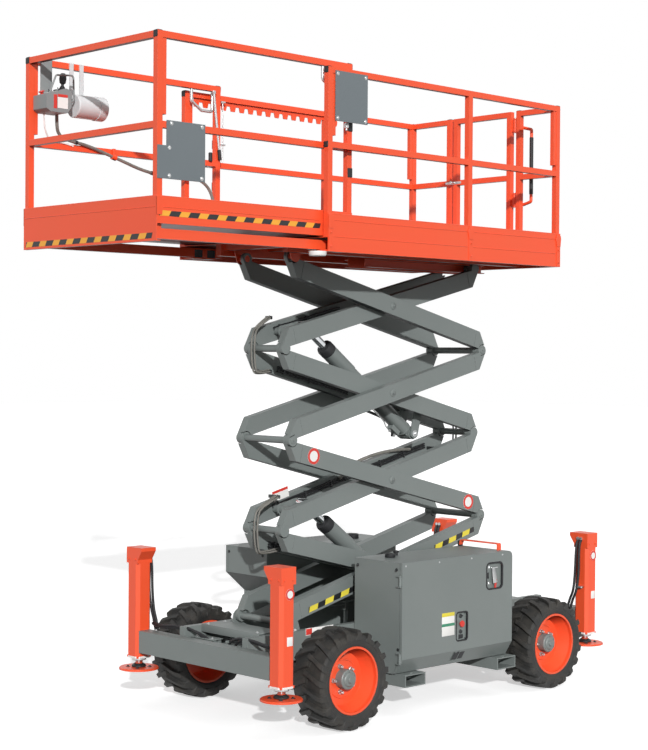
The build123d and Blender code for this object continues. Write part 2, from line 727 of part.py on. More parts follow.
for name, level, rising, arm_y, left_pin, right_pin, fitting in arms:
    sign = 1 if rising else -1
    outline = [
        (-arm_nose, sign * low_edge),
        (-arm_nose, sign * (low_edge + 14)),
        (arm_mitre, sign * high_edge),
        (tube_length + arm_nose, sign * high_edge),
        (tube_length + arm_nose, sign * (high_edge - 14)),
        (tube_length - arm_mitre, sign * low_edge),
    ]
    pins = ((0.0, 0.0, left_pin), (tube_length, sign * 2 * pin_offset, right_pin))
    with BuildPart() as arm:
        for side in (-1, 1):
            with BuildSketch(arm_plane(level, rising, side * arm_y + half_width)):
                with BuildLine():
                    Polyline(*outline, close=True)
                make_face()
            extrude(amount=arm_width)
            for pin_x, pin_y, kind in pins:
                # rising arms have their lugs on the outboard half of the width
                lug_out = side * sign > 0
                lug_face = side * arm_y + (half_width if lug_out else 0)
                cut_face = side * arm_y + (0 if lug_out else half_width)
                with BuildSketch(arm_plane(level, rising, cut_face + lug_gap)):
                    with Locations((pin_x, pin_y)):
                        Circle(lug_clear)
                extrude(amount=half_width + 2 * lug_gap, mode=Mode.SUBTRACT)
                with BuildSketch(arm_plane(level, rising, lug_face - (0 if lug_out else lug_gap))):
                    with Locations((pin_x, pin_y)):
                        Circle(lug_radius)
                extrude(amount=half_width - lug_gap)
        for pin_x, pin_y, kind in pins:
            reach = arm_y + half_width
            # the base shaft ends outside its brackets
            if kind == "base":
                reach += bracket_gap + plate + 4
            if kind == "bore":
                with BuildSketch(arm_plane(level, rising, reach + 1)):
                    with Locations((pin_x, pin_y)):
                        Circle(pin_radius + running_gap)
                extrude(amount=2 * reach + 2, mode=Mode.SUBTRACT)
            elif kind == "roller":
                for side in (-1, 1):
                    start = reach if side > 0 else -roller_inner_y
                    with BuildSketch(arm_plane(level, rising, start)):
                        with Locations((pin_x, pin_y)):
                            Circle(roller_radius - 6)
                    extrude(amount=reach - roller_inner_y)
                    start = roller_outer_y if side > 0 else -roller_inner_y
                    with BuildSketch(arm_plane(level, rising, start)):
                        with Locations((pin_x, pin_y)):
                            Circle(roller_radius)
                    extrude(amount=roller_outer_y - roller_inner_y)
            else:
                with BuildSketch(arm_plane(level, rising, reach)):
                    with Locations((pin_x, pin_y)):
                        Circle(pin_radius)
                extrude(amount=2 * reach)
        # centre pin: stubs on the outer arms, bores in the inner ones
        centre = (tube_length / 2, sign * pin_offset)
        for side in (-1, 1):
            if arm_y == outer_arm_y:
                stub_in = inner_arm_y - half_width + 8
                start = arm_y + half_width if side > 0 else -stub_in
                with BuildSketch(arm_plane(level, rising, start)):
                    with Locations(centre):
                        Circle(pin_radius)
                extrude(amount=arm_y + half_width - stub_in)
            else:
                with BuildSketch(arm_plane(level, rising, side * arm_y + half_width + 1)):
                    with Locations(centre):
                        Circle(pin_radius + running_gap)
                extrude(amount=arm_width + 2, mode=Mode.SUBTRACT)
        # cylinder brackets on a cross tube
        if fitting:
            along = barrel_pivot_along if fitting == "barrel" else rod_eye_along
            above = -barrel_pivot_below if fitting == "barrel" else rod_eye_above
            eye = in_tube_frame(along, above, rising)
            root_back = 0 if fitting == "barrel" else rod_bracket_root
            root = (eye[0] - root_back, sign * pin_offset)
            cross_tube_y = arm_y - half_width + 5
            with BuildSketch(arm_plane(level, rising, cross_tube_y)):
                with Locations(root):
                    Circle(cross_tube_radius)
            extrude(amount=2 * cross_tube_y)
            for side in (-1, 1):
                start = ear_inner_y + ear_thickness if side > 0 else -ear_inner_y
                with BuildSketch(arm_plane(level, rising, start)):
                    with Locations(root):
                        Circle(cross_tube_radius + 12)
                    with Locations(eye):
                        Circle(eye_radius)
                    make_hull()
                extrude(amount=ear_thickness)
            if fitting == "barrel":
                with BuildSketch(arm_plane(level, rising, ear_inner_y + ear_thickness)):
                    with Locations(eye):
                        Circle(cylinder_pin_radius)
                extrude(amount=2 * (ear_inner_y + ear_thickness))
    save(arm, name)

# ---------------------------------------------------------------- lift cylinders
for name, level in (("lower", 0), ("upper", 2)):
    joint_z = base_pin_z + rise * (level + 1)
    theta = radians(rest_angle)
    pivot = Vector(
        left_x + barrel_pivot_along * cos(theta) - barrel_pivot_below * sin(theta),
        0,
        joint_z - barrel_pivot_along * sin(theta) - barrel_pivot_below * cos(theta),
    )
    eye = Vector(
        left_x + rod_eye_along * cos(theta) - rod_eye_above * sin(theta),
        0,
        joint_z + rod_eye_along * sin(theta) + rod_eye_above * cos(theta),
    )
    reach = (eye - pivot).length
    line = Plane(origin=pivot, x_dir=(0, 1, 0), z_dir=(eye - pivot))
    foot_y = ear_inner_y - 6
    across = Plane(origin=(pivot.X, foot_y, pivot.Z), x_dir=(1, 0, 0), z_dir=(0, -1, 0))
    with BuildPart() as barrel:
        with BuildSketch(line.offset(barrel_foot - 14)):
            Circle(barrel_radius)
        extrude(amount=barrel_length - barrel_foot + 14)
        with BuildSketch(line):
            Rectangle(76, 80)
        extrude(amount=barrel_foot)
        with BuildSketch(across):
            Circle(eye_radius + 8)
        extrude(amount=2 * foot_y)
        with BuildSketch(across):
            Circle(cylinder_pin_radius + running_gap)
        extrude(amount=2 * foot_y, mode=Mode.SUBTRACT)
        with BuildSketch(line.offset(barrel_bore_start)):
            Circle(rod_radius + rod_clearance)
        extrude(amount=barrel_length, mode=Mode.SUBTRACT)
        with BuildSketch(line.offset(barrel_length - gland_length)):
            Circle(barrel_radius)
            Circle(rod_radius + running_gap, mode=Mode.SUBTRACT)
        extrude(amount=gland_length)
    save(barrel, f"lift_cylinder_{name}")
    rod_start = barrel_bore_start + cylinder_stroke_in + 12
    pin_y = ear_inner_y - 4
    across = Plane(origin=(eye.X, pin_y, eye.Z), x_dir=(1, 0, 0), z_dir=(0, -1, 0))
    with BuildPart() as rod:
        with BuildSketch(line.offset(rod_start)):
            Circle(rod_radius)
        extrude(amount=reach - rod_start)
        with BuildSketch(across.offset(18)):
            Circle(eye_radius)
        extrude(amount=2 * (pin_y - 18))
        with BuildSketch(across):
            Circle(cylinder_pin_radius)
        extrude(amount=2 * pin_y)
    save(rod, f"lift_rod_{name}")

# ================================================================ platform
deck_length = deck_rear_x - deck_front_x
deck_mid_x = at_x((deck_front_x + deck_rear_x) / 2)
floor_underside = floor_top - floor_sheet
post_xs = (
    at_x(deck_front_x) + rail_tube / 2,
    at_x(middle_post_x),
    at_x(deck_rear_x) - skirt_sheet - rail_tube / 2,
)
with BuildPart() as deck:
    with Locations((deck_mid_x, 0, floor_top - floor_sheet / 2)):
        Box(deck_length, 2 * deck_half_y, floor_sheet)
    # side skirts, one folded sheet each: upright web and a flange turned in below
    with BuildSketch(cross_plane(at_x(deck_front_x))):
        for side in (-1, 1):
            with Locations((side * (deck_half_y - skirt_sheet / 2), (skirt_bottom + skirt_top) / 2)):
                Rectangle(skirt_sheet, skirt_top - skirt_bottom)
            with Locations((side * (deck_half_y - skirt_flange / 2), skirt_bottom + skirt_sheet / 2)):
                Rectangle(skirt_flange, skirt_sheet)
    extrude(amount=deck_length)
    # straps down the outside of the skirts, in line with the posts
    skirt_mid_z = (skirt_bottom + skirt_top) / 2
    for side in (-1, 1):
        for post_x in post_xs:
            with Locations((post_x, side * (deck_half_y + skirt_strap / 2), skirt_mid_z)):
                Box(rail_tube, skirt_strap, skirt_top - skirt_bottom)
    rear_sheet_x = at_x(deck_rear_x) - skirt_sheet / 2
    with Locations((rear_sheet_x, 0, (skirt_bottom + floor_top) / 2)):
        Box(skirt_sheet, 2 * deck_half_y, floor_top - skirt_bottom)
    for y_low, y_high in ((gate_far_y, deck_half_y), (-deck_half_y, gate_near_y)):
        with Locations((rear_sheet_x, (y_low + y_high) / 2, (floor_top + skirt_top) / 2)):
            Box(skirt_sheet, y_high - y_low, skirt_top - floor_top)
    # long members under the floor, outboard of the stack, and cross members at both ends
    shelf_in = ext_beam_y - ext_beam_width / 2
    for side in (-1, 1):
        with Locations((deck_mid_x, side * deck_member_y, (skirt_bottom + 12 + floor_underside) / 2)):
            Box(deck_length - 2 * skirt_sheet, 50, floor_underside - skirt_bottom - 12)
    for cross_x in (deck_front_x + 60, deck_rear_x - 60):
        with Locations((at_x(cross_x), 0, (deck_cross_low + floor_underside) / 2)):
            Box(50, 2 * deck_member_y, floor_underside - deck_cross_low)
    # ribs across under the floor, between the extension's beams
    for rib_x in floor_rib_xs:
        with Locations((at_x(rib_x), 0, floor_underside - floor_rib_depth / 2)):
            Box(rail_tube, 2 * (shelf_in - 2 * lug_gap - 10), floor_rib_depth)
    # shelves that carry the extension's side beams
    for side in (-1, 1):
        for shelf_x in (deck_front_x + 60, ext_rear_x - 100):
            shelf_out = deck_half_y - skirt_sheet
            shelf_z = ext_beam_bottom - running_gap - 5
            with Locations((at_x(shelf_x), side * (shelf_in + shelf_out) / 2, shelf_z)):
                Box(90, shelf_out - shelf_in, 10)
    # brackets of the fixed upper pins
    bracket_y = outer_arm_y + half_width + bracket_gap
    for side in (-1, 1):
        with BuildSketch(side_plane(side * (bracket_y + plate / 2) + plate / 2)):
            with BuildLine():
                Polyline(
                    (left_x - 80, floor_underside),
                    (left_x - 40, top_pin_z),
                    (left_x + 40, top_pin_z),
                    (left_x + 80, floor_underside),
                    close=True,
                )
            make_face()
            with Locations((left_x, top_pin_z)):
                Circle(40)
        extrude(amount=plate)
        stub_in = outer_arm_y - half_width + 4
        start = bracket_y + plate if side > 0 else -stub_in
        with BuildSketch(side_plane(start)):
            with Locations((left_x, top_pin_z)):
                Circle(pin_radius)
        extrude(amount=bracket_y + plate - stub_in)
    # channels for the upper rollers
    for side in (-1, 1):
        with BuildSketch(cross_plane(at_x(track_front_x))):
            y_mid = side * (track_inner_y + track_outer_y) / 2
            with Locations((y_mid, top_pin_z)):
                Rectangle(track_outer_y - track_inner_y, 2 * (track_half + track_plate))
            with Locations((side * (track_inner_y + track_plate + 20), top_pin_z)):
                Rectangle(40, 2 * track_half, mode=Mode.SUBTRACT)
            channel_top = top_pin_z + track_half + track_plate
            with Locations((side * (track_inner_y + track_plate / 2), (channel_top + floor_underside) / 2)):
                Rectangle(track_plate, floor_underside - channel_top)
        extrude(amount=track_rear_x - track_front_x)
save(deck, "platform_deck")


# ---------------------------------------------------------------- guard rails of the main deck
# Each frame is one sketch of its bars, drawn in the frame's own plane and extruded by a tube.
def bars(*columns):
    """Rectangles in the open sketch, each given as low u, high u, low v, high v."""
    for u_low, u_high, v_low, v_high in columns:
        with Locations(((u_low + u_high) / 2, (v_low + v_high) / 2)):
            Rectangle(u_high - u_low, v_high - v_low)


half_tube = rail_tube / 2
rail_y = deck_half_y - skirt_sheet - half_tube
for name, side in (("left", -1), ("right", 1)):
    with BuildPart() as rails:
        x0 = post_xs[0] - half_tube
        x1 = post_xs[-1] + half_tube
        with BuildSketch(side_plane(side * rail_y + half_tube)):
            bars(
                (x0, x1, rail_top_z - rail_tube, rail_top_z),
                (x0, x1, rail_mid_z - half_tube, rail_mid_z + half_tube),
            )
            bars(*((x - half_tube, x + half_tube, floor_top, rail_top_z) for x in post_xs))
        extrude(amount=rail_tube)
        # corner posts are doubled above the middle rail
        stiffener_low = rail_mid_z + 3 * half_tube
        for stiffener_x in (x0 + rail_tube + corner_gusset / 2, x1 - rail_tube - corner_gusset / 2):
            with Locations((stiffener_x, side * rail_y, (stiffener_low + rail_top_z - rail_tube) / 2)):
                Box(corner_gusset, rail_tube - 8, rail_top_z - rail_tube - stiffener_low)
        if side > 0:
            # toothed bar that the extension's lock drops into
            teeth_top = rail_top_z - rail_tube - lock_bar_height
            with BuildSketch(side_plane(side * rail_y + 4)):
                first = at_x(lock_first_x)
                last = first + lock_teeth * lock_pitch
                bars((first - lock_pitch / 4, last + lock_pitch / 4, teeth_top, rail_top_z - rail_tube))
                for tooth in range(lock_teeth + 1):
                    with Locations((first + tooth * lock_pitch, teeth_top - lock_tooth / 2)):
                        Trapezoid(0.62 * lock_pitch, lock_tooth, 76, rotation=180)
            extrude(amount=8)
    save(rails, f"guard_rail_{name}")

rail_plane_x = post_xs[-1]
fixed_y = rail_y - half_tube
hinge_y = gate_near_y - gate_hinge_gap
latch_y = gate_far_y + gate_latch_gap
fixed_hinge_y = gate_near_y - 2 * gate_hinge_gap
gate_bottom = floor_top + 30
with BuildPart() as rear_rail:
    with BuildSketch(cross_plane(rail_plane_x - half_tube)):
        for z_high in (rail_top_z, rail_mid_z + half_tube):
            z_low = z_high - rail_tube
            bars((latch_y, fixed_y, z_low, z_high), (-fixed_y, fixed_hinge_y, z_low, z_high))
        bars(
            (latch_y, latch_y + rail_tube, floor_top, rail_top_z),
            (fixed_hinge_y - rail_tube, fixed_hinge_y, floor_top, rail_top_z),
        )
    extrude(amount=rail_tube)
    # hinge lugs and pins on the fixed post
    for z in gate_hinges_z:
        for lug_z in (z - 1 - hinge_lug / 2, z + gate_hinge_height + 1 + hinge_lug / 2):
            with BuildSketch(Plane.XY.offset(lug_z - hinge_lug / 2)):
                with Locations((rail_plane_x, hinge_y)):
                    Circle(gate_hinge_radius - 0.5)
                with Locations((rail_plane_x, (hinge_y + fixed_hinge_y) / 2)):
                    Rectangle(16, gate_hinge_gap)
            extrude(amount=hinge_lug)
        with BuildSketch(Plane.XY.offset(z - 2)):
            with Locations((rail_plane_x, hinge_y)):
                Circle(hinge_pin_radius)
        extrude(amount=gate_hinge_height + 4)
    # grab loop on the outside of the hinge post
    post_face = rail_plane_x + half_tube
    loop_y = fixed_hinge_y - half_tube
    loop_x = post_face + 2 * grab_tube_radius
    with BuildLine() as loop_path:
        FilletPolyline(
            (post_face - 4, loop_y, grab_loop_low_z),
            (loop_x, loop_y, grab_loop_low_z),
            (loop_x, loop_y - grab_loop_reach, grab_loop_low_z + 20),
            (loop_x, loop_y - grab_loop_reach, grab_loop_high_z - 20),
            (loop_x, loop_y, grab_loop_high_z),
            (post_face - 4, loop_y, grab_loop_high_z),
            radius=grab_tube_radius + 1,
        )
    with BuildSketch(Plane(origin=(post_face - 4, loop_y, grab_loop_low_z), z_dir=(1, 0, 0))):
        Circle(grab_tube_radius)
    sweep(path=loop_path.line, transition=Transition.RIGHT)
save(rear_rail, "guard_rail_rear")

with BuildPart() as gate:
    with BuildSketch(cross_plane(rail_plane_x - half_tube)):
        bars(
            (gate_near_y, gate_far_y, rail_top_z - rail_tube, rail_top_z),
            (gate_near_y, gate_far_y, rail_mid_z - half_tube, rail_mid_z + half_tube),
            (gate_near_y, gate_near_y + rail_tube, gate_bottom, rail_top_z),
            (gate_far_y - rail_tube, gate_far_y, gate_bottom, rail_top_z),
        )
    extrude(amount=rail_tube)
    # kick plate between the posts
    with BuildSketch(cross_plane(rail_plane_x - skirt_sheet / 2)):
        bars((gate_near_y, gate_far_y, gate_bottom, gate_bottom + kick_plate))
    extrude(amount=skirt_sheet)
    for z in gate_hinges_z:
        with BuildSketch(Plane.XY.offset(z)):
            with Locations((rail_plane_x, hinge_y)):
                Circle(gate_hinge_radius)
            with Locations((rail_plane_x, (hinge_y + gate_near_y) / 2)):
                Rectangle(16, gate_hinge_gap)
            with Locations((rail_plane_x, hinge_y)):
                Circle(hinge_pin_radius + hinge_clearance, mode=Mode.SUBTRACT)
        extrude(amount=gate_hinge_height)
save(gate, "entry_gate")

# ---------------------------------------------------------------- deck extension
ext_floor_bottom = floor_top + ext_floor_gap
ext_front = at_x(ext_front_x)
ext_rear = at_x(ext_rear_x)
with BuildPart() as extension:
    # floor with its side skirts, and the two beams that slide under the main floor
    with BuildSketch(cross_plane(ext_front)):
        with Locations((0, ext_floor_bottom + floor_sheet / 2)):
            Rectangle(2 * ext_half_y, floor_sheet)
        for side in (-1, 1):
            with Locations((side * (ext_half_y - skirt_sheet / 2), (ext_floor_bottom + ext_skirt_top) / 2)):
                Rectangle(skirt_sheet, ext_skirt_top - ext_floor_bottom)
            with Locations((side * ext_beam_y, (ext_beam_bottom + ext_beam_top) / 2)):
                Rectangle(ext_beam_width, ext_beam_top - ext_beam_bottom)
    extrude(amount=ext_rear - ext_front)
    # front skirt, folded in below, and the cross beam behind it that joins the side beams
    with BuildSketch(side_plane(ext_half_y)):
        with BuildLine():
            Polyline(
                (ext_front, skirt_bottom),
                (ext_front + skirt_flange, skirt_bottom),
                (ext_front + skirt_flange, skirt_bottom + skirt_sheet),
                (ext_front + skirt_sheet, skirt_bottom + skirt_sheet),
                (ext_front + skirt_sheet, ext_skirt_top),
                (ext_front, ext_skirt_top),
                close=True,
            )
        make_face()
    extrude(amount=2 * ext_half_y)
    cross_beam_y = ext_beam_y + ext_beam_width / 2
    with BuildSketch(side_plane(cross_beam_y)):
        bars((ext_front, ext_front + 60, ext_beam_bottom, ext_floor_bottom))
    extrude(amount=2 * cross_beam_y)
save(extension, "extension_deck")

ext_rail_y = ext_half_y - skirt_sheet - half_tube
ext_foot = ext_floor_bottom + floor_sheet
ext_top_low = ext_rail_top_z - rail_tube
front_rail_x = ext_front + skirt_sheet + half_tube
with BuildPart() as ext_rails:
    for side in (-1, 1):
        with BuildSketch(side_plane(side * ext_rail_y + half_tube)):
            bars(
                (front_rail_x - half_tube, ext_rear, ext_top_low, ext_rail_top_z),
                (front_rail_x - half_tube, ext_rear, rail_mid_z - half_tube, rail_mid_z + half_tube),
                (front_rail_x - half_tube, front_rail_x + half_tube, ext_foot, ext_rail_top_z),
                (ext_rear - rail_tube, ext_rear, ext_foot, ext_rail_top_z),
            )
        extrude(amount=rail_tube)
        stiffener_x = front_rail_x + half_tube + corner_gusset / 2
        with Locations((stiffener_x, side * ext_rail_y, (stiffener_low + ext_top_low) / 2)):
            Box(corner_gusset, rail_tube - 8, ext_top_low - stiffener_low)
    with BuildSketch(cross_plane(front_rail_x - half_tube)):
        bars(
            (-ext_rail_y, ext_rail_y, ext_top_low, ext_rail_top_z),
            (-ext_rail_y, ext_rail_y, rail_mid_z - half_tube, rail_mid_z + half_tube),
        )
    extrude(amount=rail_tube)
save(ext_rails, "extension_rails")

# handles for pushing the extension out, bent tube hanging under its top rails
with BuildPart() as handles:
    handle_rear = ext_rear - rail_tube - 2 * push_handle_radius
    handle_front = handle_rear - push_handle_span
    handle_low = ext_top_low - push_handle_depth
    for side in (-1, 1):
        start = (handle_front, side * ext_rail_y, ext_top_low)
        with BuildLine() as handle_path:
            FilletPolyline(
                start,
                (handle_front, side * ext_rail_y, handle_low + 60),
                (handle_front + 90, side * ext_rail_y, handle_low),
                (handle_rear, side * ext_rail_y, handle_low),
                (handle_rear, side * ext_rail_y, ext_top_low),
                radius=2 * push_handle_radius,
            )
        with BuildSketch(Plane(origin=start, z_dir=(0, 0, -1))):
            Circle(push_handle_radius)
        sweep(path=handle_path.line)
save(handles, "push_handles")

rail_face = ext_rail_y - half_tube
with BuildPart() as control_box:
    # sloping desk, guard hoop over it and the plate that hangs it on the far rail
    front = at_x(control_front_x)
    base = control_bottom_z
    with BuildSketch(side_plane(rail_face - bracket_sheet)) as desk:
        with BuildLine():
            Polyline(
                (front, base + 20),
                (front + 30, base),
                (front + 160, base),
                (front + 195, base + 40),
                (front + 195, base + 150),
                (front + 150, base + 160),
                (front, base + 110),
                close=True,
            )
        make_face()
        fillet(desk.vertices(), 8)
    extrude(amount=control_width)
    plate_low = base + 60
    with Locations((front + 100, rail_face - bracket_sheet / 2, (plate_low + ext_rail_top_z) / 2)):
        Box(90, bracket_sheet, ext_rail_top_z - plate_low)
    hoop_y = rail_face - bracket_sheet - control_width + 30
    with BuildLine() as hoop_path:
        FilletPolyline(
            (front + 38, hoop_y, base + 110),
            (front + 92, hoop_y, base + 243),
            (front + 228, hoop_y, base + 256),
            (front + 234, hoop_y, base + 84),
            (front + 190, hoop_y, base + 84),
            radius=20,
        )
    with BuildSketch(Plane(origin=hoop_path.line @ 0, z_dir=hoop_path.line % 0)):
        Circle(hoop_radius)
    sweep(path=hoop_path.line)
save(control_box, "control_box")

# canister for papers beside the controls, lid towards the deck
with BuildPart() as canister:
    tube_y = rail_face - bracket_sheet - document_tube_radius - 6
    tube_front = at_x(document_tube_x) - document_tube_length / 2
    lid = document_tube_radius + document_cap
    tube_start = (tube_front, tube_y, document_tube_z)
    with BuildSketch(Plane(origin=tube_start, x_dir=(1, 0, 0), z_dir=(0, -1, 0))):
        with BuildLine():
            Polyline(
                (0, 0),
                (0, document_tube_radius - 5),
                (5, document_tube_radius),
                (document_tube_length - 60, document_tube_radius),
                (document_tube_length - 60, lid),
                (document_tube_length, lid),
                (document_tube_length + 12, document_tube_radius - 20),
                (document_tube_length + 12, 0),
                close=True,
            )
        make_face()
    revolve(axis=Axis(tube_start, (1, 0, 0)))
    for strap_x in (tube_front + 40, tube_front + 120):
        strap_low = document_tube_z - 20
        with Locations((strap_x, rail_face - bracket_sheet - 4, (strap_low + ext_rail_top_z) / 2)):
            Box(30, 8, ext_rail_top_z - strap_low)
        with Locations((strap_x, rail_face - bracket_sheet / 2, (ext_top_low + ext_rail_top_z) / 2)):
            Box(30, bracket_sheet, rail_tube)
save(canister, "document_canister")

# blank plates hung outside the left rails; the front one is notched at the corner post
with BuildPart() as ext_panel:
    with BuildSketch(side_plane(-(ext_rail_y + half_tube))):
        bars(
            (ext_front + 6, ext_front + 370, 3470, 3667),
            (ext_front + 74, ext_front + 370, 3667, 3817),
        )
    extrude(amount=panel_thick)
save(ext_panel, "extension_panel")

with BuildPart() as deck_panel:
    with BuildSketch(side_plane(-(rail_y + half_tube))):
        bars((at_x(-1140), at_x(-846), 3945, 4270))
    extrude(amount=panel_thick)
save(deck_panel, "deck_panel")
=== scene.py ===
"""Looks for a rough-terrain scissor lift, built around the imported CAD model.

Metres, +Z up, the ground at z = 0. The deck extension and the steered wheels are at -X, the entry
gate at +X, the machine's left side at -Y. Each section below is one piece of the machine, in the
order in which it is put together.
"""
from math import atan2, cos, pi, radians, sin

import bmesh
import bpy
from mathutils import Matrix, Vector


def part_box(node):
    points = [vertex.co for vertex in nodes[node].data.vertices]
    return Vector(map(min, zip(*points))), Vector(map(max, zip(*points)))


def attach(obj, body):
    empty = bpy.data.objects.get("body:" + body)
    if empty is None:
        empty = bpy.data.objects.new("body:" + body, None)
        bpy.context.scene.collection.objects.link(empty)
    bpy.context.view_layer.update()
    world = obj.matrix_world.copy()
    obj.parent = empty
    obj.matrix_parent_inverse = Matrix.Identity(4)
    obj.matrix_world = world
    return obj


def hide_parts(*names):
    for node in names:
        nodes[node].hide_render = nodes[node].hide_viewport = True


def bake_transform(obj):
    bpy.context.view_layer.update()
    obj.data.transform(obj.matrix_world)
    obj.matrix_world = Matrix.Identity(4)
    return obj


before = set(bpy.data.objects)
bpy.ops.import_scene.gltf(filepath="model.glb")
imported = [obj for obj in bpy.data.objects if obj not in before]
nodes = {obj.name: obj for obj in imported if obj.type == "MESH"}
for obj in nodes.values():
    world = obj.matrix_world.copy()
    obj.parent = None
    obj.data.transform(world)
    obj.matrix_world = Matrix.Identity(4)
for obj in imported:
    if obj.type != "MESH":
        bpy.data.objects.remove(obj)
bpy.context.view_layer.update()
SIDES = ((-1, "left"), (1, "right"))

# ---------------------------------------------------------------- camera
# It stands off the front left corner, level with the middle of the stack, with a long lens.
def new_object(name, data):
    """Object of that data, linked into the scene."""
    obj = bpy.data.objects.new(name, data)
    bpy.context.collection.objects.link(obj)
    return obj


def towards(azimuth, elevation):
    """Unit vector from angles in degrees; azimuth 0 is -Y and 90 is +X."""
    a, e = radians(azimuth), radians(elevation)
    return Vector((sin(a) * cos(e), -cos(a) * cos(e), sin(e)))


def place_of(x, y, z, origin):
    """Place with those three axes and that origin."""
    return Matrix.Translation(origin) @ Matrix((x, y, z)).transposed().to_4x4()


back, roll = towards(-44.138, 0.714), radians(0.401)
right = (-back).cross(Vector((0, 0, 1))).normalized()
up = right.cross(-back)
right, up = right * cos(roll) + up * sin(roll), up * cos(roll) - right * sin(roll)
camera = new_object("camera", bpy.data.cameras.new("camera"))
camera.matrix_world = place_of(right, up, back, (-8.2490, -8.4467, 2.4260))
camera.data.sensor_width = 36
camera.data.lens = 80.12
camera.data.shift_x = -0.0040
camera.data.shift_y = 0.0029
camera.data.clip_end = 200
bpy.context.scene.camera = camera

# ---------------------------------------------------------------- studio
# A white room: an even white world, one broad key lamp from the front left, and a pale floor.
# The room and the floor show as plain white behind the machine; the floor keeps its shadow.
def linear(code):
    """sRGB hex to linear rgba."""
    out = []
    for k in (0, 2, 4):
        c = int(code[k : k + 2], 16) / 255
        out.append(c / 12.92 if c <= 0.04045 else ((c + 0.055) / 1.055) ** 2.4)
    return (*out, 1.0)


def feed(tree, node, inputs):
    """Sets a node's inputs to values, or links them to the sockets of other nodes."""
    for key, value in inputs.items():
        if isinstance(value, bpy.types.NodeSocket):
            tree.links.new(value, node.inputs[key])
        else:
            node.inputs[key].default_value = value
    return node


def add(tree, kind, inputs=None, **settings):
    """One node with its settings and inputs."""
    node = tree.nodes.new(kind)
    for key, value in settings.items():
        setattr(node, key, value)
    return feed(tree, node, inputs or {})


def arithmetic(tree, operation, first, second):
    """Socket: the outcome of one operation on two values."""
    return add(tree, "ShaderNodeMath", {0: first, 1: second}, operation=operation).outputs[0]


def mapped(tree, value, start, end, low, high):
    """Socket: value, with its range from start to end stretched over low to high."""
    inputs = {"Value": value, "From Min": start, "From Max": end, "To Min": low, "To Max": high}
    return add(tree, "ShaderNodeMapRange", inputs).outputs[0]


def mixed(tree, factor, first, second):
    """Socket: a colour between first and second."""
    inputs = {"Factor": factor, 6: first, 7: second}
    return add(tree, "ShaderNodeMix", inputs, data_type="RGBA").outputs[2]


def seen_sharply(tree):
    """Socket: 1 for rays from the camera, off gloss or through glass, 0 for diffuse ones."""
    ray = add(tree, "ShaderNodeLightPath").outputs
    direct = arithmetic(tree, "MAXIMUM", ray["Is Camera Ray"], ray["Is Glossy Ray"])
    return arithmetic(tree, "MAXIMUM", direct, ray["Is Transmission Ray"])


def new_material(name):
    mat = bpy.data.materials.new(name)
    mat.use_nodes = True
    return mat, mat.node_tree, mat.node_tree.nodes["Principled BSDF"]


scene = bpy.context.scene
scene.view_settings.view_transform = "Standard"
world = bpy.data.worlds.new("white_room")
scene.world = world
world.use_nodes = True
room = world.node_tree
ROOM_FILL = 0.30  # the world's strength as a light; it shows at full strength
room_strength = mapped(room, seen_sharply(room), 0.0, 1.0, ROOM_FILL, 1.0)
feed(room, room.nodes["Background"], {"Color": linear("FFFFFF"), "Strength": room_strength})

# columns: name, azimuth, elevation, strength, softness in degrees
for name, azimuth, elevation, strength, softness in (
    ("key", -38, 20, 3.20, 1.2),
    ("fill", 20, 60, 0.35, 40),
):
    lamp = new_object(name, bpy.data.lights.new(name, "SUN"))
    lamp.data.energy = strength
    lamp.data.angle = radians(softness)
    lamp.rotation_euler = towards(azimuth, elevation).to_track_quat("Z", "Y").to_euler()

FLOOR_REACH, FLOOR_GLOW = 60, 0.50
floor_data = bpy.data.meshes.new("floor")
corners = [(u * FLOOR_REACH, v * FLOOR_REACH, 0) for u, v in ((-1, -1), (1, -1), (1, 1), (-1, 1))]
floor_data.from_pydata(corners, [], [(0, 1, 2, 3)])
floor = new_object("floor", floor_data)
floor_mat, tree, shader = new_material("pale_floor")
# the ground is darker to diffuse light than it looks, so that the undersides stay in shade
seen = seen_sharply(tree)
glow = arithmetic(tree, "MULTIPLY", seen, FLOOR_GLOW)
ground = mixed(tree, seen, linear("4A4947"), linear("F6F6F6"))
feed(
    tree,
    shader,
    {
        "Base Color": ground,
        "Roughness": 0.95,
        "Emission Color": linear("FFFFFF"),
        "Emission Strength": glow,
    },
)
floor_data.materials.append(floor_mat)

# ---------------------------------------------------------------- chassis frame
# Two steel box rails with a belly plate and two cross beams, welded and powder coated grey.
# A steering cover, two step plates and a blank plate are bolted to it at the front.
MIDDLE = 0.4215  # X of the middle of the wheelbase; sizes below are given from there
UP = (0, 0, 1)


def at(from_middle):
    return from_middle + MIDDLE


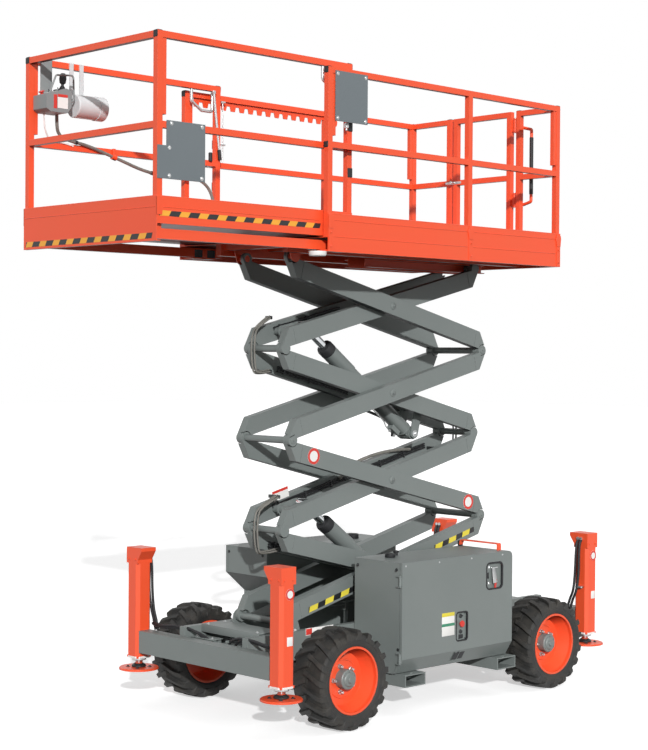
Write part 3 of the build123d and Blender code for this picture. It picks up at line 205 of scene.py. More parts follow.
def coat(
    name, code, dirt_code, rough, metallic=0.0, peel=0.05, edge=0.002, grime=0.35, under=None,
    spread=(-0.07, 0.1), blotches=(1.7, 5.0, 0.62), dusty=(0.36, 0.76), grain=(400.0, 2.0),
):
    """Powder coat: faint broad mottling and dust, fine orange peel, softened edges.

    under is a painted shade colour for the faces that look down, which also get less gloss. The
    last four are the spread of roughness, the scale, detail and roughness of the mottling, the part
    of it that is dusty, and the scale and detail of the peel, which is drawn coarse so that it
    shows.
    """
    mat, tree, shader = new_material(name)
    coordinates = add(tree, "ShaderNodeTexCoord").outputs
    place = coordinates["Object"]
    inputs = dict(zip(("Vector", "Scale", "Detail", "Roughness"), (place, *blotches)))
    broad = add(tree, "ShaderNodeTexNoise", inputs).outputs["Fac"]
    inputs = dict(zip(("Vector", "Scale", "Detail"), (place, *grain)))
    fine = add(tree, "ShaderNodeTexNoise", inputs).outputs["Fac"]
    dust = mapped(tree, broad, *dusty, 0.0, grime)
    colour = mixed(tree, dust, linear(code), linear(dirt_code))
    gloss = mapped(tree, broad, 0.0, 1.0, rough + spread[0], rough + spread[1])
    soft = add(tree, "ShaderNodeBevel", {"Radius": edge}, samples=4).outputs[0]
    inputs = {"Height": fine, "Strength": peel, "Distance": 0.001, "Normal": soft}
    bump = add(tree, "ShaderNodeBump", inputs).outputs[0]
    if under:
        # faces that look down are painted darker with the under colour, as painted shade, and lose
        # most of their gloss
        facing = add(tree, "ShaderNodeSeparateXYZ", {0: coordinates["Normal"]}).outputs["Z"]
        painted_shade_mask = mapped(tree, facing, -0.60, -0.95, 0.0, 1.0)
        colour = mixed(tree, painted_shade_mask, colour, linear(under))
        feed(tree, shader, {"Specular IOR Level": mapped(tree, painted_shade_mask, 0.0, 1.0, 0.5, 0.05)})
    inputs = {"Base Color": colour, "Roughness": gloss, "Normal": bump, "Metallic": metallic}
    feed(tree, shader, inputs)
    return mat


def vinyl(colour, code, dirt_code, rough=0.4, grime=0.35):
    """Thin self-adhesive vinyl, flat and even."""
    return coat(f"{colour}_vinyl", code, dirt_code, rough, peel=0.02, edge=0.0005, grime=grime)


# satin polyester powder over steel: even mid grey with a soft broad sheen
# under paints its faces that look down a darker grey, as painted shade
grey_powder = coat("grey_powder_coat", "747B79", "858A88", 0.44, under="3A3E3E")
# blank signs and plates
white_vinyl = vinyl("white", "F2F1EE", "E2E0DA")
red_vinyl = vinyl("red", "D9392F", "C23A30")
# electro-plated steel: pale, slightly bluish, soft reflections
zinc = coat("zinc_plate", "C4C6C6", "A9ABAA", 0.34, metallic=0.9, peel=0.12, edge=0.001)
# matt EPDM and PVC, used for hoses, caps and sleeves
black_rubber = coat("black_moulded_rubber", "17181A", "25262A", 0.62, peel=0.2)
# oily cast and drawn steel fittings
dark_steel = coat("dark_steel", "3C3E3F", "2A2B2B", 0.42, metallic=0.6, peel=0.1, edge=0.001)
# machined unions, warm and bright
brass = coat("yellow_brass", "B08A3C", "8C6C2E", 0.35, metallic=1.0, edge=0.0005)


def dress(material, *names):
    """Gives CAD nodes their finish, in the slots they already have."""
    for node_name in names:
        obj = nodes[node_name]
        if not obj.material_slots:
            obj.data.materials.append(None)
        for place in obj.material_slots:
            place.material = material


def block(bm, low, high, soft=0.0):
    """Plate or block between two corners, its edges broken by soft."""
    low, high = Vector(low), Vector(high)
    verts = bmesh.ops.create_cube(bm, size=1)["verts"]
    for vert in verts:
        vert.co = vert.co * (high - low) + (low + high) / 2
    if soft:
        edges = list({edge for vert in verts for edge in vert.link_edges})
        settings = {"segments": 2, "profile": 0.5, "affect": "EDGES", "clamp_overlap": True}
        bmesh.ops.bevel(bm, geom=edges, offset=soft, **settings)


def stand(origin, axis=UP, side=UP):
    """Place whose local Z lies along axis; local X is as near to side as it can be."""
    z = Vector(axis).normalized()
    x = Vector(side) - z * Vector(side).dot(z)
    if x.length < 1e-4:
        x = z.orthogonal()
    x.normalize()
    return place_of(x, z.cross(x), z, origin)


def moved(x, y, z):
    return Matrix.Translation((x, y, z))


def turned(bm, profile, place, sides=28):
    """Turned shape from (radius, height) pairs along the place's Z; a radius of 0 closes it."""
    turns = [(cos(2 * pi * k / sides), sin(2 * pi * k / sides)) for k in range(sides)]
    rings = []
    for radius, height in profile:
        round_it = turns if radius else [(0, 0)]
        spots = [Vector((radius * c, radius * s, height)) for c, s in round_it]
        rings.append([bm.verts.new(place @ spot) for spot in spots])
    for low, high in zip(rings, rings[1:]):
        if len(low) == len(high) == 1:
            continue
        for k in range(sides):
            j = (k + 1) % sides
            if len(low) == 1:
                bm.faces.new((low[0], high[j], high[k]))
            elif len(high) == 1:
                bm.faces.new((low[k], low[j], high[0]))
            else:
                bm.faces.new((low[k], low[j], high[j], high[k]))


def ring(bm, profile, place, sides=32):
    """Turned ring: its profile runs back to where it began."""
    turned(bm, [*profile, profile[0]], place, sides)


def pin(bm, a, b, radius, chamfer=0.002, sides=20):
    """Round bar from a to b with broken ends."""
    a, b = Vector(a), Vector(b)
    long = (b - a).length
    c = min(chamfer, radius / 3, long / 3)
    near = [(0, 0), (radius - c, 0), (radius, c)]
    far = [(radius, long - c), (radius - c, long), (0, long)]
    turned(bm, near + far, stand(a, b - a), sides)


def skin(bm, rings):
    """Faces between each ring of corners and the next."""
    for low, high in zip(rings, rings[1:]):
        for k in range(len(low)):
            j = (k + 1) % len(low)
            bm.faces.new((low[k], low[j], high[j], high[k]))


def plate_in(bm, place, outline, low, high):
    """Closed outline in the place's X and Y, from low to high along its Z."""
    rings = [[bm.verts.new(place @ Vector((u, v, w))) for u, v in outline] for w in (low, high)]
    bm.faces.new(list(reversed(rings[0])))
    bm.faces.new(rings[1])
    skin(bm, rings)


def bent_tube(bm, points, radius, sides=10):
    """Tube of one radius along a smooth line through the space of the given points."""
    curve = bpy.data.curves.new("line", "CURVE")
    curve.dimensions = "3D"
    spline = curve.splines.new("NURBS")
    spline.points.add(len(points) - 1)
    for point, place in zip(spline.points, points):
        point.co = (*place, 1)
    spline.order_u = 3
    spline.use_endpoint_u = True
    spline.resolution_u = 8
    curve.bevel_depth = radius
    curve.bevel_resolution = (sides - 4) // 2
    curve.use_fill_caps = True
    holder = bpy.data.objects.new("line", curve)
    mesh = bpy.data.meshes.new_from_object(holder)
    bm.from_mesh(mesh)
    bpy.data.objects.remove(holder)
    bpy.data.curves.remove(curve)
    bpy.data.meshes.remove(mesh)


def hose(bm, line, radius, sides=10):
    """Bent tube whose points have their X from the middle of the wheelbase."""
    bent_tube(bm, [(at(x), y, z) for x, y, z in line], radius, sides)


def hex_bolt(bm, at_point, axis=UP, across=0.012, height=0.006, washer=0.0015):
    """Flange bolt head on its washer, standing on a surface."""
    place = stand(at_point, axis, (0.3, 0.2, 1))
    if washer:
        wide = across * 0.95
        turned(bm, [(0, 0), (wide, 0), (wide, washer), (0, washer)], place, 16)
    half, top = across / 2, washer + height
    shoulder = washer + height * 0.85
    turned(bm, [(half, washer), (half, shoulder), (across * 0.42, top), (0, top)], place, 6)


def finish(name, bm, material, angle=35):
    """Object of a piece: outward faces, smooth up to that angle, and its finish."""
    bmesh.ops.remove_doubles(bm, verts=bm.verts, dist=1e-6)
    mesh = unit_mesh(bm, name)
    for face in mesh.polygons:
        face.use_smooth = True
    mesh.set_sharp_from_angle(angle=radians(angle))
    mesh.materials.append(material)
    return new_object(name, mesh)


def unit_mesh(bm, name="unit"):
    """The shape as a mesh with outward faces."""
    bmesh.ops.recalc_face_normals(bm, faces=bm.faces)
    mesh = bpy.data.meshes.new(name)
    bm.to_mesh(mesh)
    bm.free()
    return mesh


def piece(name, bm, material, body, angle=35):
    """A piece that rides on one body, in that body's material slot if one is named."""
    obj = finish(name, bm, material, angle)
    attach(obj, body)
    return obj


dress(grey_powder, "chassis_frame")
bm = bmesh.new()
# steering cover between the rails, behind the front beam, and two step plates on brackets
block(bm, (at(-1.36), -0.29, 0.592), (at(-1.16), 0.29, 0.600), 0.002)
block(bm, (at(-1.366), -0.29, 0.545), (at(-1.36), 0.29, 0.600), 0.001)
block(bm, (at(-1.50), -0.26, 0.500), (at(-1.37), 0.02, 0.508), 0.002)
block(bm, (at(-1.47), 0.06, 0.520), (at(-1.37), 0.28, 0.528), 0.002)
for y in (-0.24, 0.0, 0.08, 0.26):
    block(bm, (at(-1.40), y - 0.003, 0.410), (at(-1.372), y + 0.003, 0.522), 0.001)
# stiffening ribs and corner gussets on the belly plate and the cross beams
for x in (-1.22, -0.62, 0.62, 1.22):
    block(bm, (at(x) - 0.02, -0.29, 0.408), (at(x) + 0.02, 0.29, 0.440), 0.002)
RAIL_FACE = 0.346  # of the box rails, from the middle of the machine
for x, turn in ((-1.513, 1), (1.520, -1)):
    for side, _ in SIDES:
        corner = moved(at(x), side * RAIL_FACE, 0.46)
        plate_in(bm, corner, [(0, 0), (0, side * 0.13), (turn * 0.13, 0)], -0.005, 0.005)
piece("chassis_plates", bm, grey_powder, "chassis")

# columns: height of the plate, X and Y of its bolts
plate_bolts = (
    (0.600, ((-1.34, -0.25), (-1.34, 0.25), (-1.19, -0.25), (-1.19, 0.25))),
    (0.508, ((-1.46, -0.22), (-1.46, -0.03))),
    (0.528, ((-1.44, 0.09), (-1.44, 0.25))),
)
bm = bmesh.new()
for z, spots in plate_bolts:
    for x, y in spots:
        hex_bolt(bm, (at(x), y, z), UP, 0.014, 0.007)
for x in (-1.25, -0.3, 0.25, 0.85, 1.3):
    for side, _ in SIDES:
        hex_bolt(bm, (at(x), side * RAIL_FACE, 0.50), (0, side, 0), 0.017, 0.009)
piece("chassis_bolts", bm, zinc, "chassis")

bm = bmesh.new()
block(bm, (at(-0.992), -0.3472, 0.553), (at(-0.735), -RAIL_FACE, 0.601), 0.0004)
piece("rail_plate_white", bm, white_vinyl, "chassis")
bm = bmesh.new()
block(bm, (at(-0.990), -0.3478, 0.556), (at(-0.935), -0.3471, 0.598), 0.0003)
piece("rail_plate_red", bm, red_vinyl, "chassis")

# ---------------------------------------------------------------- hydraulics under the front cover
# A dark steel manifold with brass unions and short rubber hoses to the steering cylinder, to the
# outriggers and back to the tank.
bm = bmesh.new()
block(bm, (at(-1.33), -0.12, 0.425), (at(-1.21), 0.10, 0.515), 0.004)
for y in (-0.08, -0.02, 0.05):
    pin(bm, (at(-1.27), y, 0.51), (at(-1.27), y, 0.565), 0.017, 0.003)
piece("front_manifold", bm, dark_steel, "chassis")
bm = bmesh.new()
for k in range(5):
    y = -0.10 + 0.045 * k
    for start, end, radius in ((0.0, 0.014, 0.012), (0.014, 0.028, 0.009)):
        pin(bm, (at(-1.33) - start, y, 0.47), (at(-1.33) - end, y, 0.47), radius, 0.001, 6)
piece("front_unions", bm, brass, "chassis")
# columns: radius, points of the hose's line from the middle of the wheelbase
front_hoses = (
    (0.009, (
        (-1.356, -0.10, 0.47), (-1.42, -0.10, 0.475), (-1.46, -0.20, 0.56),
        (-1.49, -0.40, 0.57), (-1.515, -0.60, 0.55), (-1.49, -0.67, 0.56),
    )),
    (0.009, (
        (-1.356, -0.055, 0.47), (-1.44, -0.05, 0.48), (-1.48, -0.18, 0.575),
        (-1.50, -0.38, 0.585), (-1.525, -0.58, 0.565), (-1.49, -0.66, 0.58),
    )),
    (0.009, (
        (-1.356, 0.035, 0.47), (-1.43, 0.05, 0.48), (-1.47, 0.20, 0.57),
        (-1.49, 0.42, 0.57), (-1.51, 0.60, 0.55), (-1.49, 0.67, 0.57),
    )),
    (0.009, (
        (-1.356, 0.08, 0.47), (-1.44, 0.11, 0.49), (-1.48, 0.24, 0.58),
        (-1.50, 0.42, 0.585), (-1.52, 0.58, 0.565), (-1.49, 0.66, 0.59),
    )),
    (0.010, (
        (-1.356, -0.01, 0.47), (-1.40, 0.0, 0.50), (-1.41, 0.08, 0.46),
        (-1.36, 0.2, 0.44), (-1.22, 0.24, 0.45), (-0.9, 0.25, 0.45),
    )),
)
bm = bmesh.new()
for radius, line in front_hoses:
    hose(bm, line, radius)
piece("front_hoses", bm, black_rubber, "chassis")

# ---------------------------------------------------------------- fork pockets
# Two rectangular tubes across the machine under the cabinets, with lashing holes.
# They are sprayed in the same grey as the chassis.
dress(grey_powder, "fork_pockets")

# ---------------------------------------------------------------- axles and steering
# Fabricated axles and knuckles in black chassis paint, and between the knuckles a steering
# cylinder whose chromed rod comes out at both ends.
# chassis enamel, dusty black and less glossy than powder
black_paint = coat("black_chassis_paint", "232626", "34332F", 0.45)
dress(black_paint, "front_axle", "rear_axle", "steering_cylinder")
# hard chrome on ground steel: mirror-like with a slight blue cast
hard_chrome = coat(
    "hard_chrome", "CDD0D2", "BFC2C4", 0.12, metallic=1.0, peel=0.0, edge=0.0005, grime=0.2
)
dress(hard_chrome, "steering_rod")
KINGPIN_X, STEER_Z = at(-1.039), 0.310
steer_x = KINGPIN_X + 0.150
for side, name in SIDES:
    dress(black_paint, f"steering_knuckle_{name}")
    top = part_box(f"steering_knuckle_{name}")[1][2]
    place = stand((KINGPIN_X, side * 0.600, top))
    bm = bmesh.new()
    turned(bm, [(0.024, 0), (0.024, 0.010), (0.018, 0.014), (0, 0.014)], place)
    turned(bm, [(0.006, 0.014), (0.006, 0.022), (0.003, 0.026), (0, 0.026)], place, 8)
    piece(f"kingpin_cap_{name}", bm, dark_steel, f"knuckle_{name}")
# steering cylinder: glands, ports and the bolts of its two saddles
gland = [(0.0165, 0), (0.033, 0), (0.033, 0.018), (0.026, 0.026), (0.0165, 0.026)]
bm, hoses, nuts = bmesh.new(), bmesh.new(), bmesh.new()
for side, _ in SIDES:
    turned(bm, gland, stand((steer_x, side * 0.160, STEER_Z), (0, side, 0)))
    port = Vector((steer_x, side * 0.120, STEER_Z))
    pin(bm, port + Vector((0, 0, 0.030)), port + Vector((0, 0, 0.058)), 0.012)
    for x in (-0.042, -0.018):
        hex_bolt(bm, (steer_x + x, side * 0.070, STEER_Z + 0.025))
    line = (
        (steer_x, side * 0.120, STEER_Z + 0.056),
        (steer_x, side * 0.120, STEER_Z + 0.10),
        (steer_x - 0.05, side * 0.11, STEER_Z + 0.15),
        (steer_x - 0.14, side * 0.08, 0.435),
        (at(-1.21), side * 0.06, 0.46),
    )
    bent_tube(hoses, line, 0.008)
    nut = [(0.0225, 0), (0.0225, 0.004), (0.012, 0.006), (0.012, 0.016), (0, 0.018)]
    turned(nuts, nut, stand((steer_x, side * 0.540, STEER_Z + 0.018)), 18)
piece("steering_glands", bm, dark_steel, "chassis")
piece("steering_hoses", hoses, black_rubber, "chassis")
piece("tie_rod_nuts", nuts, zinc, "steering_rod")

# ---------------------------------------------------------------- wheels and tyres
# Foam-filled traction tyres on one-piece steel wheels. The tyre is black rubber, moulded with
# two staggered rows of slanted bars that run from the middle of the tread down the shoulders.
# carbon-black rubber, dusty and matt in the grooves
tyre_rubber = coat(
    "tyre_rubber", "1E1E1D", "46423C", 0.5, peel=0.25, edge=0.004, grime=0.7,
    spread=(0.0, 0.35), blotches=(9.0, 6.0, 0.65), dusty=(0.42, 0.78), grain=(600.0, 3.0),
)
# gloss enamel, orange-red, as on the posts and rails
# under paints its faces that look down a deep red-brown, as painted shade
orange_powder = coat("orange_powder_coat", "F4552D", "E65F3A", 0.36, under="4A160D")


def repeated(name, unit, copies, step, turn, material, place):
    """Copies of a unit mesh, each moved by step and turned about Z by turn from the last."""
    unit.materials.clear()
    source = new_object("unit", unit)
    group = bpy.data.node_groups.new(name, "GeometryNodeTree")
    # columns: name of the input, kind of its socket, value
    given_values = (
        ("Unit", "Object", source),
        ("Copies", "Int", copies),
        ("Step", "Vector", step),
        ("Turn per copy", "Float", turn),
        ("Finish", "Material", material),
    )
    sockets = {}
    for title, kind, value in given_values:
        made = group.interface.new_socket(title, in_out="INPUT", socket_type=f"NodeSocket{kind}")
        sockets[made.identifier] = value
    group.interface.new_socket("Geometry", in_out="OUTPUT", socket_type="NodeSocketGeometry")
    given = add(group, "NodeGroupInput").outputs
    shape = add(group, "GeometryNodeObjectInfo", {"Object": given["Unit"]}).outputs["Geometry"]
    inputs = {"Count": given["Copies"], "Offset": given["Step"]}
    line = add(group, "GeometryNodeMeshLine", inputs).outputs[0]
    number = add(group, "GeometryNodeInputIndex").outputs[0]
    angle = arithmetic(group, "MULTIPLY", number, given["Turn per copy"])
    about = add(group, "ShaderNodeCombineXYZ", {"Z": angle}).outputs[0]
    inputs = {"Points": line, "Instance": shape, "Rotation": about}
    spread = add(group, "GeometryNodeInstanceOnPoints", inputs).outputs[0]
    real = add(group, "GeometryNodeRealizeInstances", {0: spread}).outputs[0]
    inputs = {"Geometry": real, "Material": given["Finish"]}
    coated = add(group, "GeometryNodeSetMaterial", inputs).outputs[0]
    add(group, "NodeGroupOutput", {"Geometry": coated})
    holder = new_object(name, bpy.data.meshes.new(name))
    modifier = holder.modifiers.new("repeat", "NODES")
    modifier.node_group = group
    for identifier, value in sockets.items():
        modifier[identifier] = value
    bpy.context.view_layer.update()
    evaluated = holder.evaluated_get(bpy.context.evaluated_depsgraph_get())
    mesh = bpy.data.meshes.new_from_object(evaluated)
    bpy.data.objects.remove(holder)
    bpy.data.objects.remove(source)
    mesh.transform(place)
    return mesh


def in_row(bm, name, unit, copies, step, material, place):
    """Adds a straight row of copies of a unit mesh to bm."""
    bm.from_mesh(repeated(name, unit.copy(), copies, step, 0.0, material, place))


def in_circle(bm, name, unit, copies, material, place):
    """Adds copies of a unit mesh to bm, spread evenly round the place's Z."""
    bm.from_mesh(repeated(name, unit, copies, (0, 0, 0), 2 * pi / copies, material, place))


# half of the tyre's section as (across, radius), from the bead to the middle of the tread
TYRE_HALF = (
    (0.124, 0.216), (0.131, 0.224), (0.1395, 0.250), (0.1425, 0.272), (0.138, 0.289),
    (0.122, 0.300), (0.08, 0.3045),
)
TYRE_BODY = [(r, -x) for x, r in TYRE_HALF] + [(0.306, 0.0)] + [(r, x) for x, r in TYRE_HALF[::-1]]
# a bar's line from the middle of the tread to low on the shoulder:
# columns: across, radius of its foot, radius of its top, degrees round the wheel, half width
BAR_LINE = (
    (-0.012, 0.303, 0.3295, 0.0, 0.0155),
    (0.030, 0.303, 0.3295, 2.6, 0.0150),
    (0.075, 0.301, 0.3285, 6.4, 0.0150),
    (0.112, 0.298, 0.3255, 9.6, 0.0165),
    (0.134, 0.286, 0.3140, 11.6, 0.0180),
    (0.1385, 0.272, 0.2960, 12.4, 0.0190),
    (0.1395, 0.258, 0.2640, 12.8, 0.0180),
)
BARS = 19
BAR_FLARE, WIDEST = 1.25, 0.1455  # the foot against the top, and half the tyre's width


def tyre_bar(side):
    """One bar; angles run from the top of the wheel forwards, and side is the tread half."""
    bm = bmesh.new()
    rows = []
    for across, foot, top, degrees, half in BAR_LINE:
        row = []
        flared = half * BAR_FLARE
        for radius, spread in ((foot, flared), (top, half), (top, -half), (foot, -flared)):
            angle = radians(degrees) + spread / radius
            out = across if radius == foot else min(across * 1.045, WIDEST)
            row.append(bm.verts.new((radius * cos(angle), radius * sin(angle), side * out)))
        rows.append(row)
    skin(bm, rows)
    bm.faces.new(rows[0])
    bm.faces.new(rows[-1])
    return unit_mesh(bm)


# the cap over the hub as (radius, across), from its face to the disc
HUB_CAP = (
    (0, 0.106), (0.018, 0.106), (0.021, 0.102), (0.021, 0.098), (0.040, 0.096), (0.047, 0.0895),
    (0.047, 0.0875), (0.060, 0.0872), (0.0668, 0.081), (0.0668, 0.0245), (0, 0.0245),
)
DISC = 0.024  # face of the wheel's disc, outboard of its middle
# columns: name, X of the axle from the middle, side of the machine
wheels = (
    ("front_left", -1.039, -1),
    ("front_right", -1.039, 1),
    ("rear_left", 1.039, -1),
    ("rear_right", 1.039, 1),
)
for name, axle_x, side in wheels:
    body = f"wheel_{name}"
    # the wheel's own place: Z outboard, X up, Y towards the front of the machine
    hub = place_of((0, 0, 1), (-1, 0, 0), (0, side, 0), (at(axle_x), side * 0.722, 0.330))
    bm = bmesh.new()
    ring(bm, TYRE_BODY, hub, 76)
    # moulded rings on the sidewall
    for radius, z in ((0.236, 0.1355), (0.262, 0.1415)):
        for out in (-1, 1):
            foot = out * (z - 0.002)
            bead = [(radius - 0.002, foot), (radius, out * (z + 0.0012)), (radius + 0.002, foot)]
            turned(bm, bead, hub, 76)
    for half, shift in ((1, 0.0), (-1, 0.5)):
        place = hub @ Matrix.Rotation(shift * 2 * pi / BARS, 4, "Z")
        in_circle(bm, "tread_bars", tyre_bar(half), BARS, tyre_rubber, place)
    tyre = piece(f"tyre_{name}_tread", bm, tyre_rubber, body, angle=28)
    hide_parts(f"tyre_{name}")

    dress(orange_powder, f"rim_{name}")
    # steel cap over the hub, five wheel nuts on studs, and the valve
    bm = bmesh.new()
    turned(bm, HUB_CAP, hub, 36)
    unit = bmesh.new()
    hex_bolt(unit, (0.054, 0, 0.0872), UP, 0.010, 0.005, washer=0.0)
    in_circle(bm, "hub_cap_bolts", unit_mesh(unit), 6, dark_steel, hub)
    piece(f"hub_cap_{name}", bm, grey_powder, body)
    unit = bmesh.new()
    stud = stand((0.088, 0, DISC))
    turned(unit, [(0.017, 0), (0.015, 0.008), (0, 0.008)], stud, 18)
    hex_bolt(unit, (0.088, 0, DISC + 0.007), UP, 0.024, 0.018, washer=0.0)
    turned(unit, [(0, 0.02), (0.007, 0.02), (0.007, 0.034), (0, 0.035)], stud, 12)
    bm = bmesh.new()
    in_circle(bm, "wheel_nuts", unit_mesh(unit), 5, zinc, hub @ Matrix.Rotation(0.35, 4, "Z"))
    foot, tip = hub @ Vector((0.150, 0.030, 0.045)), hub @ Vector((0.176, 0.036, 0.078))
    pin(bm, foot, tip, 0.004, 0.001, 10)
    piece(f"wheel_nuts_{name}", bm, zinc, body)
    # hand holes' rims are pressed into the disc as a shallow ring
    bm = bmesh.new()
    swage = [(0.118, -0.001), (0.122, 0.004), (0.128, 0.004), (0.132, -0.001)]
    turned(bm, swage, hub @ moved(0, 0, DISC), 64)
    piece(f"rim_swage_{name}", bm, orange_powder, body)

# ---------------------------------------------------------------- outriggers
# Folded steel posts, a hydraulic leg with a round pad in each; orange powder coat. The leg's rod
# is hard chrome, the hoses come down behind the post, and the signs on the post are left blank.
# columns: name, X from the middle, side of the machine, end of the machine
outriggers = (
    ("front_left", -1.563, -1, -1),
    ("front_right", -1.563, 1, -1),
    ("rear_left", 1.570, -1, 1),
    ("rear_right", 1.570, 1, 1),
)
POST_HALF, LEG_Y = 0.0625, 0.729


def round_sign(bm_disc, bm_ring, centre, axis, radius):
    """Blank round sign: a white disc and a red ring on it, centre on the surface."""
    place = stand(centre, axis)
    turned(bm_disc, [(0, 0), (radius, 0), (radius, 0.0006), (0, 0.0006)], place, 40)
    inner, outer = radius * 0.66, radius * 0.985
    ring(bm_ring, [(inner, 0.0005), (inner, 0.0011), (outer, 0.0011), (outer, 0.0005)], place, 40)


def four_bolts(bm, centre, reach, axis, across, height):
    """Bolts on the corners of a square round centre, reach from it."""
    for k in range(4):
        a = pi / 4 + k * pi / 2
        out = Vector((reach * cos(a), reach * sin(a), 0))
        hex_bolt(bm, Vector(centre) + out, axis, across, height)


# the foot's socket under the rod, and the wiper ring under the post, as (radius, height)
SOCKET = (
    (0.046, 0.270), (0.050, 0.274), (0.050, 0.282), (0.032, 0.296), (0.0272, 0.296),
    (0.0272, 0.270),
)
WIPER = (0.0275, 0.318), (0.046, 0.318), (0.050, 0.322), (0.050, 0.338), (0.0275, 0.338)
# a hose behind the post, columns: inwards from the hoses' lane, share of the shift to one side,
# towards the middle of the machine, height
LEG_HOSE = (
    (-0.048, 1.0, 0.010, 1.060),
    (0.0, 1.0, 0.010, 1.055),
    (0.012, 1.0, 0.012, 0.95),
    (0.004, 1.3, 0.020, 0.80),
    (0.014, 1.0, 0.030, 0.66),
    (0.004, 1.0, 0.075, 0.590),
    (0.004, 1.0, 0.092, 0.525),
)
for name, post_x, side, end in outriggers:
    dress(orange_powder, f"outrigger_post_{name}", f"outrigger_leg_{name}")
    x, y = at(post_x), side * LEG_Y
    face = y + side * POST_HALF
    inner = -end  # towards the middle of the machine

    # signs on the outer face
    white, red = bmesh.new(), bmesh.new()
    round_sign(white, red, (x + 0.012, face, 0.930), (0, side, 0), 0.037)
    low, high = sorted((face, face + side * 0.0007))
    block(white, (x - 0.012, low, 0.605), (x + 0.036, high, 0.662), 0.0002)
    piece(f"post_sign_{name}", white, white_vinyl, "chassis")
    piece(f"post_sign_ring_{name}", red, red_vinyl, "chassis")

    # chromed rod, its wiper ring and the bolted retainer under the post
    leg = f"leg_{name}"
    upright = moved(x, y, 0)
    bm = bmesh.new()
    ring(bm, [(0.0262, 0.299), (0.0268, 0.301), (0.0268, 0.880), (0.0262, 0.882)], upright)
    piece(f"outrigger_rod_{name}", bm, hard_chrome, leg)
    bm = bmesh.new()
    ring(bm, SOCKET, upright)
    four_bolts(bm, (x, y, 0.270), 0.075, UP, 0.016, 0.008)
    piece(f"pad_socket_{name}", bm, dark_steel, leg)
    bm = bmesh.new()
    ring(bm, WIPER, upright)
    four_bolts(bm, (x, y, 0.338), 0.047, (0, 0, -1), 0.012, 0.007)
    piece(f"leg_wiper_{name}", bm, zinc, "chassis")
    # pale nylon band round the foot of the post
    bm = bmesh.new()
    long, short = 0.0633, 0.0408  # to the post's sides, and to where its corners are cut
    outline = []
    for u, v in ((1, -1), (1, 1), (-1, 1), (-1, -1)):
        corner = [(u * short, v * long), (u * long, v * short)]
        outline += corner if u * v < 0 else corner[::-1]
    levels = ((0.99, 0.336), (1.005, 0.336), (1.005, 0.350), (0.99, 0.350))
    rings = [[bm.verts.new((x + u * s, y + v * s, z)) for u, v in outline] for s, z in levels]
    skin(bm, [*rings, rings[0]])
    piece(f"post_band_{name}", bm, white_vinyl, "chassis")

    # hoses and their union behind the post
    lane = x + inner * 0.078
    bm, unions = bmesh.new(), bmesh.new()
    block(unions, (lane - 0.016, y - 0.030, 0.688), (lane + 0.022, y + 0.024, 0.702), 0.002)
    low, high = sorted((x + inner * (POST_HALF - 0.001), lane + inner * 0.001))
    block(unions, (low, y - 0.030, 0.690), (high, y + 0.024, 0.700), 0.001)
    for shift in (-0.016, 0.012):
        line = [(lane + inner * u, y + shift * s - side * v, z) for u, s, v, z in LEG_HOSE]
        bent_tube(bm, line, 0.0095)
        union_y = y + shift - side * 0.01
        start, stop = ((x + inner * out, union_y, 1.060) for out in (0.060, 0.074))
        pin(unions, start, stop, 0.013, 0.001, 6)
    piece(f"leg_hoses_{name}", bm, black_rubber, "chassis")
    piece(f"leg_unions_{name}", unions, zinc, "chassis")
    # bolts of the post's cap
    bm = bmesh.new()
    for shift in (-0.035, 0.035):
        hex_bolt(bm, (x + shift, face, 1.020), (0, side, 0), 0.010, 0.005)
        hex_bolt(bm, (x + end * POST_HALF, y + shift, 1.020), (end, 0, 0), 0.010, 0.005)
    piece(f"post_bolts_{name}", bm, orange_powder, "chassis")

# ---------------------------------------------------------------- cabinets and their doors
# Folded sheet-steel housings in grey powder coat: tank and batteries on the left, engine on the
# right. The left door has a latch recess, a recess for the ground controls and two vents.
dress(grey_powder, "cabinet_left", "cabinet_right", "cabinet_door_left", "cabinet_door_right")
dress(orange_powder, "cabinet_grab_bar")
# rough sand casting in dull dark enamel
iron = coat("engine_cast_iron", "2B2C2D", "3A3A38", 0.6)
dress(iron, "engine_block")
SKIN = 0.800  # of the doors, from the machine's middle
RECESS = -0.7862  # Y of the floor of the recesses
LID = 1.045  # Z of the cabinets' tops


def rectangle(u_low, v_low, u_high, v_high):
    return [(u_low, v_low), (u_high, v_low), (u_high, v_high), (u_low, v_high)]


def rounded(u_low, v_low, u_high, v_high, corner, steps, shrink=0.0):
    """Outline of a rectangle with round corners, drawn in by shrink all round."""
    outline = []
    middles = rectangle(u_low + corner, v_low + corner, u_high - corner, v_high - corner)
    for quarter, (u, v) in enumerate((middles[2], middles[3], middles[0], middles[1])):
        for k in range(steps + 1):
            a = (quarter + k / steps) * pi / 2
            outline.append((u + (corner - shrink) * cos(a), v + (corner - shrink) * sin(a)))
    return outline


def recess_liner(bm, x_low, z_low, x_high, z_high, corner, lip, deep=0.014, fit=0.0006):
    """Dark moulding pressed into a rounded recess of the left door: its walls and a thin lip."""
    rings = []
    # from the bottom of the wall up over the lip, and back down on the recess side
    for shrink, y in ((fit, deep - fit), (fit, -0.0015), (lip, -0.0015), (lip, deep - fit)):
        outline = rounded(x_low, z_low, x_high, z_high, corner, 6, shrink)
        rings.append([bm.verts.new((u, y - SKIN, v)) for u, v in outline])
    skin(bm, [*rings, rings[0]])


bm = bmesh.new()
recess_liner(bm, at(0.327), 0.782, at(0.513), 0.978, 0.037, 0.011)
recess_liner(bm, at(0.010), 0.454, at(0.138), 0.662, 0.0256, 0.009)
# hand slot behind the latch and the socket row under the key switch
block(bm, (at(0.335), -0.7873, 0.862), (at(0.372), -0.7860, 0.905), 0.0004)
block(bm, (at(0.052), -0.7880, 0.470), (at(0.098), RECESS, 0.500), 0.0006)
piece("door_recess_seals", bm, black_rubber, "door_left")
bm = bmesh.new()
